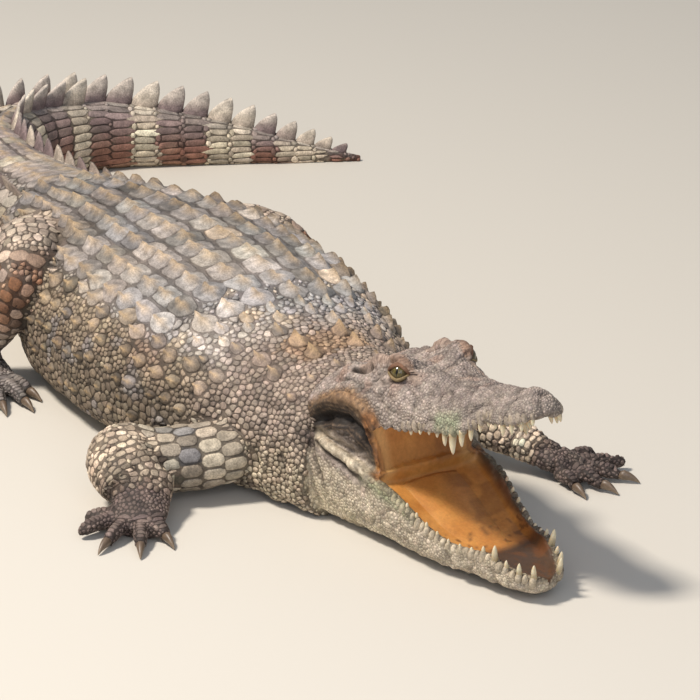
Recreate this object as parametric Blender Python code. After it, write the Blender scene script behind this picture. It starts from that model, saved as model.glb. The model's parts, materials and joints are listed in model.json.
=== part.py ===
"""A basking crocodile as a still, life-size model: belly, chin, feet and tail lie on the floor, the mouth gapes
and the tail curls round to the animal's left. Each named part of the body is one closed solid.

Lengths are in metres and angles in degrees. +X runs forward along the trunk, +Y to the animal's left and +Z up.
The origin is on the floor under the middle of the belly.
"""

import math

import bpy
import numpy as np
from mathutils import Matrix, Vector

# ---------------------------------------------------------------- driving dimensions

GAP = 0.0005  # clearance between neighbouring solids
FLAT_DEPTH = 0.007  # how much of the round belly the floor flattens
SOLE_DEPTH = 0.0025  # the same for the palms and soles
BELLY_STATION = 0.62  # distance from the jaw joint back to the origin, along the spine
TAIL_TIP = 2.34  # distance from the jaw joint back to the tail's tip
PARTS_ALONG_SPINE = (
    ("neck", 0.0, 0.21),
    ("trunk", 0.21, 1.0),
    ("tail_1_base", 1.0, 1.36),
    ("tail_2", 1.36, 1.7),
    ("tail_3", 1.7, 2.02),
    ("tail_4_tip", 2.02, TAIL_TIP),
)
# Station along the spine, and the heading there: 0 faces +X and positive turns to the left.
HEADINGS = (
    (0.0, 2),
    (0.25, -2),
    (0.5, -3),
    (0.9, 0),
    (1.1, -7),
    (1.35, -14),
    (1.57, -39),
    (1.765, -86),
    (1.96, -118),
    (2.6, -124),
)
# Station, half width, height of the widest point, height of the back.
BODY_SECTIONS = (
    (0.0, 0.13, 0.08, 0.222),
    (0.1, 0.157, 0.076, 0.219),
    (0.22, 0.204, 0.082, 0.233),
    (0.35, 0.24, 0.092, 0.253),
    (0.5, 0.259, 0.1, 0.265),
    (0.65, 0.255, 0.102, 0.267),
    (0.8, 0.21, 0.105, 0.258),
    (0.92, 0.168, 0.107, 0.242),
    (1.0, 0.148, 0.107, 0.228),
    (1.2, 0.115, 0.1, 0.202),
    (1.5, 0.086, 0.088, 0.172),
    (1.75, 0.064, 0.076, 0.143),
    (1.93, 0.046, 0.062, 0.116),
    (2.09, 0.031, 0.042, 0.08),
    (2.2, 0.02, 0.025, 0.048),
    (2.28, 0.012, 0.014, 0.027),
    (TAIL_TIP, 0.004, 0.006, 0.012),
)
# How full the belly's lower corners are: a low power is a flat belly with round flanks.
BELLY_POWER = ((0.0, 0.45), (0.3, 0.42), (0.8, 0.5), (1.1, 0.75), (TAIL_TIP, 0.85))

# The back's armour: rows of keeled scutes across the back, each side's keels at these angles from the top.
KEEL_ANGLES = (9.0, 25.0, 41.0)
VALLEY_ANGLES = (0.0, 17.0, 33.0, 50.0)
FLANK_ANGLES = (68.0, 88.0, 110.0, 142.0, 166.0)
TAIL_ANGLES = (0.0, 22.0, 48.0, 78.0, 112.0, 156.0, 180.0)
KEEL_HEIGHT = 0.008
SHIELD = (0.27, 1.0)  # stations between which the trunk's scute rows lie
SCUTE_ROWS = 15

# The tail's crest: two rows of blades that meet where the single row starts.
CREST_START, CREST_MEETS, CREST_END = 1.024, 1.82, 2.32
CREST_PITCH = ((1.0, 0.046), (1.6, 0.049), (1.9, 0.048), (2.1, 0.042), (2.25, 0.032), (2.34, 0.022))
CREST_HEIGHT = (
    (1.0, 0.014),
    (1.3, 0.026),
    (1.6, 0.036),
    (1.86, 0.047),
    (2.05, 0.044),
    (2.2, 0.032),
    (2.28, 0.018),
    (TAIL_TIP, 0.008),
)
CREST_SPREAD = ((1.0, 34.0), (1.5, 26.0), (1.82, 12.0))  # each double blade's angle from the top

# The head, in a frame at the middle of the jaw joint: x forward, y left, z up.
JOINT_HEIGHT = 0.147
UPPER_PITCH, LOWER_PITCH = 17.0, -13.0
GAPE = math.radians(UPPER_PITCH - LOWER_PITCH)
COMMISSURE = 0.125  # the mouth's corner, ahead of the jaw joint
CHEEK = 0.8  # how far out the mouth's corner lies, as a share of the jaw's half width
UPPER_TIP = 0.455
# x, half width, height of the top, height of the tooth line.
UPPER_JAW = (
    (-0.05, 0.105, 0.078, 0.0),
    (0.0, 0.12, 0.082, 0.002),
    (0.05, 0.119, 0.085, 0.004),
    (0.1, 0.109, 0.086, 0.0),
    (0.15, 0.096, 0.084, -0.004),
    (0.2, 0.084, 0.072, -0.006),
    (0.25, 0.073, 0.059, -0.008),
    (0.295, 0.07, 0.052, -0.014),
    (0.33, 0.06, 0.046, -0.008),
    (0.36, 0.048, 0.04, 0.004),
    (0.39, 0.049, 0.039, 0.001),
    (0.42, 0.045, 0.038, 0.0),
    (0.44, 0.036, 0.036, 0.002),
    (0.45, 0.022, 0.032, 0.008),
    (UPPER_TIP, 0.008, 0.023, 0.013),
)
# x, y, spread, height of each rise on the upper jaw, on both sides where y is not 0.
HEAD_RISES = (
    (0.176, 0.051, 0.026, 0.035),  # brow over the eye
    (0.13, 0.06, 0.022, 0.016),  # brow's rear
    (0.07, 0.066, 0.024, 0.016),  # bony crest behind the eye
    (0.035, 0.058, 0.018, 0.01),  # rear corner of the skull
    (0.225, 0.036, 0.02, 0.006),  # ridge in front of the eye
    (0.424, 0.012, 0.013, 0.005),  # nostrils
    (0.11, 0.0, 0.035, -0.008),  # hollow between the crests
)
# x, half width, height of the rim, height of the underside, half width of the mouth's floor, height of that floor.
LOWER_JAW = (
    (0.0, 0.12, 0.0, -0.157, 0.09, -0.02),
    (0.06, 0.117, 0.0, -0.144, 0.09, -0.02),
    (0.12, 0.109, 0.0, -0.124, 0.087, -0.02),
    (0.18, 0.102, 0.0, -0.106, 0.082, -0.026),
    (0.22, 0.097, -0.006, -0.095, 0.078, -0.032),
    (0.26, 0.09, -0.016, -0.086, 0.071, -0.038),
    (0.3, 0.081, -0.019, -0.075, 0.062, -0.038),
    (0.34, 0.071, -0.011, -0.066, 0.05, -0.03),
    (0.375, 0.061, 0.0, -0.056, 0.04, -0.02),
    (0.4, 0.055, -0.002, -0.05, 0.032, -0.015),
    (0.424, 0.046, -0.004, -0.044, 0.022, -0.013),
    (0.44, 0.036, -0.003, -0.04, 0.012, -0.01),
    (0.45, 0.024, -0.002, -0.034, 0.006, -0.007),
    (0.456, 0.008, -0.004, -0.026, 0.002, -0.007),
)
# Length of each tooth in millimetres, from the front of the jaw back.
UPPER_TEETH = (9, 11, 14, 16, 8, 7, 10, 14, 18, 26, 16, 11, 8, 8, 9, 8, 7, 6)
LOWER_TEETH = (18, 16, 10, 21, 9, 8, 8, 9, 11, 14, 13, 11, 9, 8, 6)
TOOTH_SIDES = 4

EYE_CENTRE, EYE_RADIUS = (0.178, 0.0572, 0.076), 0.0162

# Each limb: its points from inside the body to the wrist or ankle, with half width and half depth there. The
# second number is how many of the points make the upper length.
LIMBS = {
    "right_arm": (
        ((0.47, -0.12, 0.075), 0.055, 0.05),
        ((0.455, -0.21, 0.065), 0.056, 0.049),
        ((0.43, -0.29, 0.062), 0.052, 0.05),
        ((0.412, -0.336, 0.07), 0.053, 0.054),
        ((0.443, -0.347, 0.062), 0.059, 0.05),
        ((0.476, -0.346, 0.048), 0.054, 0.04),
        ((0.498, -0.355, 0.037), 0.045, 0.029),
    ),
    "left_arm": (
        ((0.42, 0.1, 0.09), 0.055, 0.05),
        ((0.465, 0.165, 0.085), 0.052, 0.048),
        ((0.52, 0.198, 0.078), 0.044, 0.044),
        ((0.56, 0.208, 0.07), 0.039, 0.04),
        ((0.6, 0.225, 0.06), 0.037, 0.036),
        ((0.633, 0.244, 0.047), 0.033, 0.03),
        ((0.662, 0.261, 0.034), 0.031, 0.024),
    ),
    "right_leg": (
        ((-0.28, -0.07, 0.13), 0.07, 0.07),
        ((-0.215, -0.15, 0.168), 0.074, 0.066),
        ((-0.14, -0.2, 0.194), 0.062, 0.055),
        ((-0.095, -0.232, 0.186), 0.05, 0.048),
        ((-0.115, -0.262, 0.125), 0.046, 0.044),
        ((-0.148, -0.28, 0.07), 0.036, 0.034),
        ((-0.16, -0.285, 0.03), 0.029, 0.027),
    ),
    "left_leg": (
        ((-0.27, 0.08, 0.11), 0.07, 0.07),
        ((-0.205, 0.16, 0.138), 0.072, 0.064),
        ((-0.13, 0.212, 0.155), 0.062, 0.055),
        ((-0.085, 0.245, 0.145), 0.05, 0.048),
        ((-0.115, 0.275, 0.105), 0.046, 0.044),
        ((-0.15, 0.29, 0.065), 0.036, 0.034),
        ((-0.165, 0.295, 0.03), 0.029, 0.027),
    ),
}
LIMB_NAMES = {
    "right_arm": ("right_upper_arm", "right_forearm", "right_hand"),
    "left_arm": ("left_upper_arm", "left_forearm", "left_hand"),
    "right_leg": ("right_thigh", "right_shank", "right_foot"),
    "left_leg": ("left_thigh", "left_shank", "left_foot"),
}
ELBOW = 3.0  # where each limb bends, counted in its points
ELBOW_OVERLAP = 0.004  # how far both lengths of a limb run past its elbow before they are cut there
LIMB_SIDES = 12
# Heading and length of each digit from the wrist or ankle; the first three carry claws.
DIGITS = {
    "right_arm": ((-5, 0.112), (-30, 0.135), (-57, 0.132), (-86, 0.112), (-108, 0.086)),
    "left_arm": ((-2, 0.114), (20, 0.134), (43, 0.145), (66, 0.128), (88, 0.092)),
    "right_leg": ((12, 0.15), (0, 0.18), (-14, 0.178), (-30, 0.15)),
    "left_leg": ((-12, 0.15), (2, 0.18), (16, 0.178), (32, 0.15)),
}
DIGIT_RADIUS = 0.0125
CLAW_LENGTH, CLAW_RADIUS = 0.03, 0.0068
PALM_LENGTH = {"right_arm": 0.062, "left_arm": 0.066, "right_leg": 0.1, "left_leg": 0.1}
PALM_HALF_DEPTH = 0.017
# A sole's rings: distance ahead of the ankle, half width, half depth.
SOLE = ((-0.036, 0.016, 0.016), (-0.022, 0.031, 0.027), (0.012, 0.038, 0.028), (0.06, 0.042, 0.021), (0.1, 0.05, 0.016))

SKIN = ("hide", (0.33, 0.3, 0.27, 1.0), 0.75)
MOUTH = ("mouth_lining", (0.72, 0.44, 0.2, 1.0), 0.45)
EYE = ("eye", (0.24, 0.22, 0.07, 1.0), 0.08)
CLAW = ("claw", (0.25, 0.21, 0.18, 1.0), 0.4)


# ---------------------------------------------------------------- curves and frames


def smooth(table, at):
    """Values of a table at any stations, by cubic pieces that never overshoot it."""
    rows = np.array(table, float)
    x, y = rows[:, 0], rows[:, 1:]
    step = np.diff(x)[:, None]
    slope = np.diff(y, axis=0) / step
    before, after = slope[:-1], slope[1:]
    same_way = before * after > 0
    mean = np.where(same_way, 2 * before * after / np.where(same_way, before + after, 1), 0)
    tangent = np.vstack([slope[:1], mean, slope[-1:]])
    at = np.atleast_1d(np.asarray(at, float))
    i = np.clip(np.searchsorted(x, at) - 1, 0, len(x) - 2)
    t = np.clip((at - x[i]) / (x[i + 1] - x[i]), 0, 1)[:, None]
    h = step[i]
    start = y[i] * (1 + 2 * t) + tangent[i] * h * t
    end = y[i + 1] * (3 - 2 * t) - tangent[i + 1] * h * (1 - t)
    return start * (1 - t) ** 2 + end * t**2


def trace_spine():
    """Stations, points and headings in radians along the spine, from the jaw joint to past the tail's tip."""
    stations = np.arange(0.0, TAIL_TIP + 0.1, 0.005)
    heading = np.radians(smooth(HEADINGS, stations)[:, 0])
    steps = 0.005 * np.stack([-np.cos(heading), -np.sin(heading)], axis=1)
    points = np.vstack([[0, 0], np.cumsum((steps[1:] + steps[:-1]) / 2, axis=0)])
    origin = [np.interp(BELLY_STATION, stations, points[:, k]) for k in (0, 1)]
    return stations, points - origin, heading


SPINE = trace_spine()


def spine_at(station):
    """(point on the floor under the spine, heading in radians) at a station."""
    stations, points, heading = SPINE
    place = [np.interp(station, stations, points[:, k]) for k in (0, 1)]
    return np.array([*place, 0.0]), float(np.interp(station, stations, heading))


def power(value, exponent):
    return np.sign(value) * np.abs(value) ** exponent


def body_outline(station, angles, grow=0.0):
    """(sideways, height) of the body's section at angles from the top, left side positive."""
    half, middle, top = smooth(BODY_SECTIONS, station)[0]
    belly = smooth(BELLY_POWER, station)[0, 0]
    theta = np.radians(angles)
    side, rise = np.sin(theta), np.cos(theta)
    y = (half + grow) * power(side, 0.88)
    upper = (top - middle + grow) * power(rise, 0.95)
    lower = (middle + FLAT_DEPTH + grow) * power(rise, belly)
    return y, middle + np.where(rise > 0, upper, lower)


def on_body(station, sideways, height):
    """World points of a section's (sideways, height) pairs."""
    foot, heading = spine_at(station)
    left = np.array([-math.sin(heading), math.cos(heading), 0])
    return foot + np.outer(sideways, left) + np.outer(height, [0, 0, 1])


def head_frame(pitch):
    """Matrix from a jaw's own frame to the world: pitch turns its front up."""
    foot, heading = spine_at(0.0)
    place = Matrix.Translation((foot[0], foot[1], JOINT_HEIGHT))
    return np.array(place @ Matrix.Rotation(heading, 4, "Z") @ Matrix.Rotation(-math.radians(pitch), 4, "Y"))


def moved(matrix, points):
    points = np.atleast_2d(points)
    return points @ matrix[:3, :3].T + matrix[:3, 3]


# ---------------------------------------------------------------- building blocks


def clear_scene():
    for obj in list(bpy.data.objects):
        bpy.data.objects.remove(obj)


def collection(name):
    made = bpy.data.collections.new(name)
    bpy.context.scene.collection.children.link(made)
    return made


def material(name, colour, roughness):
    """The named Principled material, made once."""
    found = bpy.data.materials.get(name)
    if found:
        return found
    made = bpy.data.materials.new(name)
    made.use_nodes = True
    shader = made.node_tree.nodes["Principled BSDF"]
    shader.inputs["Base Color"].default_value = colour
    shader.inputs["Roughness"].default_value = roughness
    made.diffuse_color = colour
    return made


def new_object(name, points, faces, group, finish=SKIN):
    mesh = bpy.data.meshes.new(name)
    mesh.from_pydata([tuple(p) for p in points], [], faces)
    mesh.materials.append(material(*finish))
    mesh.shade_smooth()
    mesh.set_sharp_from_angle(angle=math.radians(40))
    obj = bpy.data.objects.new(name, mesh)
    group.objects.link(obj)
    return obj


def loft_faces(rings, around):
    """Pairs of triangles between rings of equal length, and a fan over each end from its middle point."""
    faces = []
    for i in range(rings - 1):
        for j in range(around):
            k = (j + 1) % around
            near, far = (i * around + j, i * around + k), ((i + 1) * around + k, (i + 1) * around + j)
            faces += [(*near, far[0]), (near[0], *far)]
    first, last = rings * around, rings * around + 1
    for j in range(around):
        k = (j + 1) % around
        faces.append((first, k, j))
        faces.append((last, (rings - 1) * around + j, (rings - 1) * around + k))
    return faces


def loft(name, rings, group, finish=SKIN, floor=0.0):
    """A closed solid through rings of points that turn as a right-handed screw would to advance along it."""
    rings = np.array(rings)
    points = np.vstack([rings.reshape(-1, 3), rings[0].mean(0), rings[-1].mean(0)])
    points[:, 2] = np.maximum(points[:, 2], floor)
    return new_object(name, points, loft_faces(len(rings), rings.shape[1]), group, finish)


def boolean(target, other, operation):
    """Applies a Boolean to target's own mesh, and removes the other object if it was joined in."""
    modifier = target.modifiers.new(operation.title(), "BOOLEAN")
    modifier.object = other
    modifier.operation = operation
    bpy.context.view_layer.update()
    graph = bpy.context.evaluated_depsgraph_get()
    mesh = bpy.data.meshes.new_from_object(target.evaluated_get(graph))
    target.modifiers.remove(modifier)
    target.data = mesh
    if operation == "UNION":
        bpy.data.objects.remove(other)


def cut(target, name, rings, cutters):
    """Cuts target back to the loft through a neighbour's swollen rings."""
    cutter = loft(name, rings, cutters, floor=-1.0)
    boolean(target, cutter, "DIFFERENCE")
    cutter.hide_render = True
    cutter.display_type = "WIRE"


def joined(name, solids, group):
    """One object that holds several (points, faces) solids side by side, as a Boolean's other half."""
    points, faces = [], []
    for own_points, own_faces in solids:
        faces += [tuple(i + len(points) for i in face) for face in own_faces]
        points += [tuple(p) for p in own_points]
    return new_object(name, points, faces, group)


def cone(base, tip, across, sides):
    """(points, faces) of a straight cone with a round base."""
    base, tip = np.array(base, float), np.array(tip, float)
    axis = Vector(tip - base).normalized()
    turn = np.array(axis.to_track_quat("Z", "X").to_matrix())
    angles = np.arange(sides) * 2 * math.pi / sides
    circle = np.stack([np.cos(angles), np.sin(angles), np.zeros(sides)], axis=1) * across
    points = [*(base + circle @ turn.T), tip]
    faces = [tuple(reversed(range(sides)))]
    faces += [(j, (j + 1) % sides, sides) for j in range(sides)]
    return points, faces


# ---------------------------------------------------------------- neck, trunk and tail


def both_sides(left):
    """Angles from the top down the left side, and back up the right."""
    left = sorted(left)
    return np.array([*left, *(-angle for angle in reversed(left) if 0 < angle < 180)])


TRUNK_RING = both_sides({*KEEL_ANGLES, *VALLEY_ANGLES, *FLANK_ANGLES})
TAIL_RING = both_sides(TAIL_ANGLES)


def body_ring(station, keel=0.0, grow=0.0, angles=TRUNK_RING):
    """World points of the section at a station, with the back's keels raised."""
    y, z = body_outline(station, angles, grow)
    raised = np.isin(np.abs(angles), KEEL_ANGLES) * (keel + grow)
    theta = np.radians(angles)
    return on_body(station, y + raised * np.sin(theta), z + raised * np.cos(theta))


def scute_row_stations():
    """Front edges of the trunk's scute rows, and the end of the last."""
    return np.linspace(*SHIELD, SCUTE_ROWS + 1)


def crest_stations():
    """Middle of each whorl of the tail."""
    found, at = [], CREST_START
    while at < CREST_END:
        found.append(at)
        at += smooth(CREST_PITCH, at)[0, 0]
    return np.array(found)


def body_stations():
    """(station, keel height) of every ring: a low ring and a keeled one for each scute row and each whorl."""
    rows = scute_row_stations()
    pitch = rows[1] - rows[0]
    found = {0.0: 0.0, 0.05: 0.002, 0.1: 0.003, 0.16: 0.004, 0.2: 0.003, TAIL_TIP: 0.0}
    for row in rows[:-1]:
        found[row + 0.08 * pitch] = 0.0015
        found[row + 0.85 * pitch] = KEEL_HEIGHT
    for at in crest_stations():
        found[at] = 0.003
    return sorted(found.items())


def between_blades(station):
    """The station moved to lie midway between two of the tail's blades, where it is near any."""
    blades = crest_stations()
    if not blades[0] < station < blades[-1]:
        return station
    next_one = int(np.searchsorted(blades, station))
    return (blades[next_one - 1] + blades[next_one]) / 2


def part_rings(grow=0.0):
    """{name: rings} of the neck, the trunk and each length of the tail."""
    stations = body_stations()
    found = {}
    for name, start, end in PARTS_ALONG_SPINE:
        start = between_blades(start) + (GAP / 2 if start else 0.0)
        end = between_blades(end) - (GAP / 2 if end < TAIL_TIP else 0.0)
        margin = 0.006
        inner = [(s, keel) for s, keel in stations if start + margin < s < end - margin]
        angles = TAIL_RING if name.startswith("tail") else TRUNK_RING
        found[name] = [body_ring(s, keel, grow, angles) for s, keel in [(start, 0.002), *inner, (end, 0.002)]]
    return found


def make_body(parts, cutters):
    """The neck, the trunk and the tail's lengths, each length with its blades."""
    ends = {name: (between_blades(start), between_blades(end)) for name, start, end in PARTS_ALONG_SPINE}
    for name, rings in part_rings().items():
        solid = loft(name, rings, parts)
        if name.startswith("tail"):
            start, end = ends[name]
            blades = [crest_blade(s, side) for s, side in crest_blades() if start < s < end]
            boolean(solid, joined("blades", blades, cutters), "UNION")


def crest_blades():
    """(station, side) of every blade: side is 1, -1, or 0 in the single row."""
    blades = []
    for at in crest_stations():
        blades += [(at, 0)] if at >= CREST_MEETS else [(at, 1), (at, -1)]
    return blades


def crest_blade(station, side):
    """(points, faces) of one upright blade: a leaf that leans back, thin from side to side."""
    height = smooth(CREST_HEIGHT, station)[0, 0]
    length = smooth(CREST_PITCH, station)[0, 0] * (0.42 if side else 0.46)
    thickness = 0.13 * height + 0.003
    angle = side * smooth(CREST_SPREAD, station)[0, 0]
    y, z = body_outline(station, np.array([angle]))
    foot = on_body(station, y, z)[0]
    _, heading = spine_at(station)
    ahead = np.array([math.cos(heading), math.sin(heading), 0])
    left = np.array([-math.sin(heading), math.cos(heading), 0])
    lean = math.radians(angle * 0.55)
    up = math.cos(lean) * np.array([0, 0, 1]) + math.sin(lean) * left
    across = np.cross(up, ahead)
    root = foot - 0.3 * length * up
    base = [
        root + 0.98 * length * ahead,
        root + thickness * across,
        root - 1.02 * length * ahead,
        root - thickness * across,
    ]
    middle = foot + 0.62 * height * up - 0.25 * length * ahead
    shoulder = [
        middle + 0.85 * length * ahead,
        middle + 0.55 * thickness * across,
        middle - 0.8 * length * ahead,
        middle - 0.55 * thickness * across,
    ]
    tip = foot + height * up - 0.85 * length * ahead
    faces = [(3, 2, 1, 0)]
    for j in range(4):
        k = (j + 1) % 4
        faces.append((j, k, 4 + k, 4 + j))
        faces.append((4 + j, 4 + k, 8))
    return [*base, *shoulder, tip], faces


# ---------------------------------------------------------------- head and jaws


def rise(x, y):
    """Height that brows, crests and nostrils add to the upper jaw at a point."""
    total = 0.0
    for at_x, at_y, spread, height in HEAD_RISES:
        for side in (1, -1) if at_y else (1,):
            away = ((x - at_x) ** 2 + (y - side * at_y) ** 2) / spread**2
            total = total + height * np.exp(-away)
    return total


def upper_jaw_ring(x):
    """A section of the head in its own frame: over the top from left to right, then back along the palate."""
    half, top, edge = smooth(UPPER_JAW, x)[0]
    theta = np.radians(np.linspace(90, -90, 15))
    boxy = np.interp(x, (0.0, 0.2, 0.3), (0.62, 0.7, 0.85))
    y = half * power(np.sin(theta), 0.9)
    z = edge + (top - edge) * power(np.cos(theta), boxy)
    z = z + rise(x, y) * np.cos(theta) ** 0.5
    inside = np.array([-0.95, -0.8, -0.4, 0.0, 0.4, 0.8, 0.95])
    if x < COMMISSURE:
        # Behind the mouth's corner the cheeks reach down to the lower jaw.
        inside = inside * np.interp(x, (0.0, 0.06), (1.0, CHEEK / 0.95))
        roof = np.full(7, min(GAP - math.tan(GAPE) * x, edge - 0.001))
    else:
        vault = np.interp(x, (COMMISSURE, 0.3, 0.44), (0.02, 0.012, 0.004))
        roof = edge - 0.001 + vault * (1 - np.abs(inside) ** 3) * (np.abs(inside) < 0.9)
    ring_y = np.concatenate([y, inside * half])
    ring_z = np.concatenate([z, roof])
    return np.stack([np.full(len(ring_y), x), ring_y, ring_z], axis=1)


def lower_jaw_ring(x, open_mouth=True):
    """A section of the lower jaw in its own frame: up from the middle of the mouth's floor, over a rim and round."""
    half, rim, under, floor_half, floor = smooth(LOWER_JAW, x)[0]
    if not open_mouth:
        rim = floor = 0.0
    depth = rim - under
    inner = floor_half + 0.3 * (half - floor_half)
    left = [
        (0.0, floor),
        (0.6 * floor_half, floor),
        (floor_half, floor + 0.25 * (rim - floor)),
        (inner, rim - 0.001),
        (half - 0.005, rim),
        (half, rim - 0.006),
        (half * 1.02, rim - 0.25 * depth),
        (half * 0.99, rim - 0.55 * depth),
        (half * 0.88, rim - 0.83 * depth),
        (half * 0.62, rim - 0.98 * depth),
    ]
    right = [(-y, z) for y, z in reversed(left[1:])]
    section = np.array([*left, (0.0, under), *right])[::-1]
    return np.stack([np.full(len(section), x), section[:, 0], section[:, 1]], axis=1)


def clear_of_neck(rings, pitch):
    """Slides a jaw's rear ring along the jaw to just ahead of the neck, and the points of the next rings after it."""
    foot, heading = spine_at(0.0)
    normal = np.array([math.cos(heading), math.sin(heading), 0])
    along = moved(head_frame(pitch), [[1, 0, 0]])[0] - moved(head_frame(pitch), [[0, 0, 0]])[0]
    cleared = []
    for number, points in enumerate(rings):
        short = GAP + 0.005 * number - (points - foot) @ normal
        if number:
            short = np.maximum(short, 0)
        cleared.append(points + np.outer(short / (along @ normal), along))
    return cleared


def jaw_stations(corner, last):
    """Stations of a jaw's rings, before and after the mouth's corner: close together round the tip."""
    behind = np.linspace(0.0, corner - 0.002, 5)
    straight = np.linspace(corner + 0.014, last - 0.045, 11)
    tip = last - 0.045 * (1 - np.sin(np.linspace(0.3, 1, 5) * math.pi / 2))
    return behind, [corner, *straight, *tip]


def tooth_line(table, tip, inset):
    """Points (x, y, z) along the left jaw's tooth line from its front, spaced evenly by how far they run."""
    x = np.linspace(tip - 0.004, COMMISSURE + 0.03, 200)
    values = smooth(table, x)
    half = np.maximum(values[:, 0] - inset, 0.0)
    line = np.stack([x, half, values[:, 2 if table is UPPER_JAW else 1]], axis=1)
    run = np.concatenate([[0], np.cumsum(np.linalg.norm(np.diff(line, axis=0), axis=1))])
    return line, run


def teeth(table, tip, lengths, down):
    """(points, faces) of every tooth on both sides of a jaw, in the jaw's own frame."""
    line, run = tooth_line(table, tip, 0.0075)
    at = np.linspace(0.012, run[-1], len(lengths))
    solids = []
    for distance, length in zip(at, lengths):
        length = length / 1000
        x, y, z = (np.interp(distance, run, line[:, k]) for k in range(3))
        across = 0.0016 + 0.17 * length
        for side in (1, -1):
            root = (x, side * y, z - down * 0.006)
            tip_point = (x - 0.1 * length, side * (y + 0.12 * length), z + down * length)
            solids.append(cone(root, tip_point, across, TOOTH_SIDES))
    return solids


def make_jaws(parts, cutters):
    upper, lower = head_frame(UPPER_PITCH), head_frame(LOWER_PITCH)
    behind, ahead = jaw_stations(COMMISSURE, UPPER_TIP)
    rings = clear_of_neck([moved(upper, upper_jaw_ring(x)) for x in [*behind, *ahead]], UPPER_PITCH)
    head = loft("head", rings, parts)
    boolean(head, joined("teeth", world(upper, teeth(UPPER_JAW, UPPER_TIP, UPPER_TEETH, -1)), cutters), "UNION")

    tip = LOWER_JAW[-1][0]
    behind, ahead = jaw_stations(COMMISSURE / math.cos(GAPE), tip)
    rings = [moved(lower, lower_jaw_ring(x, False)) for x in behind]
    rings = clear_of_neck([*rings, *(moved(lower, lower_jaw_ring(x)) for x in ahead)], LOWER_PITCH)
    jaw = loft("lower_jaw", rings, parts)
    boolean(jaw, joined("teeth", world(lower, teeth(LOWER_JAW, tip, LOWER_TEETH, 1)), cutters), "UNION")
    make_tongue(parts, lower)
    make_eyes(parts, cutters, head, upper)


def world(frame, solids):
    return [(moved(frame, points), faces) for points, faces in solids]


def make_tongue(parts, frame):
    """The low pad on the floor of the mouth."""
    stations = np.linspace(COMMISSURE / math.cos(GAPE) + 0.006, 0.35, 10)
    rings = []
    for x in stations:
        _, _, _, floor_half, floor = smooth(LOWER_JAW, x)[0]
        swell = math.sin(math.pi * np.interp(x, (stations[0], stations[-1]), (0.32, 0.97)))
        half, bottom = 0.58 * floor_half, floor + GAP
        profile = ((-1, 0), (1, 0), (0.92, 0.005), (0.5, 0.013), (-0.5, 0.013), (-0.92, 0.005))
        section = np.array([(half * y, bottom + z * swell + (0.001 if z else 0)) for y, z in profile])
        rings.append(moved(frame, np.stack([np.full(len(section), x), section[:, 0], section[:, 1]], axis=1)))
    return loft("tongue", rings, parts, MOUTH)


def make_eyes(parts, cutters, head, frame):
    """Eyeballs in round sockets under the brows."""
    for name, side in (("left_eye", 1), ("right_eye", -1)):
        centre = moved(frame, [[EYE_CENTRE[0], side * EYE_CENTRE[1], EYE_CENTRE[2]]])[0]
        for group, radius in ((parts, EYE_RADIUS), (cutters, EYE_RADIUS + GAP)):
            bpy.ops.mesh.primitive_uv_sphere_add(segments=12, ring_count=6, radius=radius, location=centre)
            ball = bpy.context.active_object
            ball.name = name if group is parts else name + "_socket"
            ball.data.materials.append(material(*EYE))
            for owner in list(ball.users_collection):
                owner.objects.unlink(ball)
            group.objects.link(ball)
        boolean(head, ball, "DIFFERENCE")
        ball.hide_render = True
        ball.display_type = "WIRE"


# ---------------------------------------------------------------- limbs


def limb_curve(points, t):
    """(centre, half width, half depth) at t, counted in points, on a smooth curve through them."""
    rows = np.array([[*centre, width, depth] for centre, width, depth in points])
    i = int(np.clip(math.floor(t), 0, len(rows) - 2))
    u = t - i
    before, start, end, after = (rows[int(np.clip(k, 0, len(rows) - 1))] for k in (i - 1, i, i + 1, i + 2))
    value = 0.5 * (
        2 * start
        + (end - before) * u
        + (2 * before - 5 * start + 4 * end - after) * u**2
        + (3 * start - before - 3 * end + after) * u**3
    )
    return value[:3], value[3], value[4]


def limb_ring(points, t, shift=0.0, grow=0.0):
    """An oval ring across a limb at t; its width lies level and its depth square to the limb."""
    centre, width, depth = limb_curve(points, t)
    width, depth = width + grow, depth + grow
    step = 0.05
    last = len(points) - 1
    ahead = limb_curve(points, min(t + step, last))[0] - limb_curve(points, max(t - step, 0.0))[0]
    ahead = ahead / np.linalg.norm(ahead)
    level = np.cross([0, 0, 1], ahead)
    level = level / np.linalg.norm(level)
    up = np.cross(ahead, level)
    angles = np.arange(LIMB_SIDES) * 2 * math.pi / LIMB_SIDES
    ring = np.outer(np.cos(angles) * width, level) + np.outer(np.sin(angles) * depth, up)
    return centre + shift * ahead + ring


def upper_rings(limb):
    """Rings of an upper arm or thigh, from inside the body to just past the elbow or knee."""
    points = LIMBS[limb]
    along = [limb_ring(points, t) for t in np.arange(0, ELBOW - 0.6, 0.5)]
    return [*along, limb_ring(points, ELBOW, ELBOW_OVERLAP)]


def lower_rings(limb):
    """Rings of a forearm or shank, from just before the elbow or knee to the wrist or ankle."""
    points = LIMBS[limb]
    wrist = len(points) - 1.0
    along = [limb_ring(points, t) for t in np.arange(ELBOW + 1, wrist - 0.1, 0.5)]
    return [limb_ring(points, ELBOW, -ELBOW_OVERLAP), *along, limb_ring(points, wrist, -GAP / 2)]


def beyond_elbow(limb, side):
    """Rings of a square block that fills one side of the plane across the elbow: side 1 is the far side."""
    points = LIMBS[limb]
    centre = limb_curve(points, ELBOW)[0]
    ring = limb_ring(points, ELBOW) - centre
    level, up = ring[0] / np.linalg.norm(ring[0]), ring[3] / np.linalg.norm(ring[3])
    ahead = np.cross(level, up)
    square = [0.16 * (a * level + b * up) for a, b in ((1, 1), (-1, 1), (-1, -1), (1, -1))]
    near, far = centre - side * GAP / 2 * ahead, centre + side * 0.2 * ahead
    ends = (near, far) if side > 0 else (far, near)
    return [[end + corner for corner in square] for end in ends]


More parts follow.
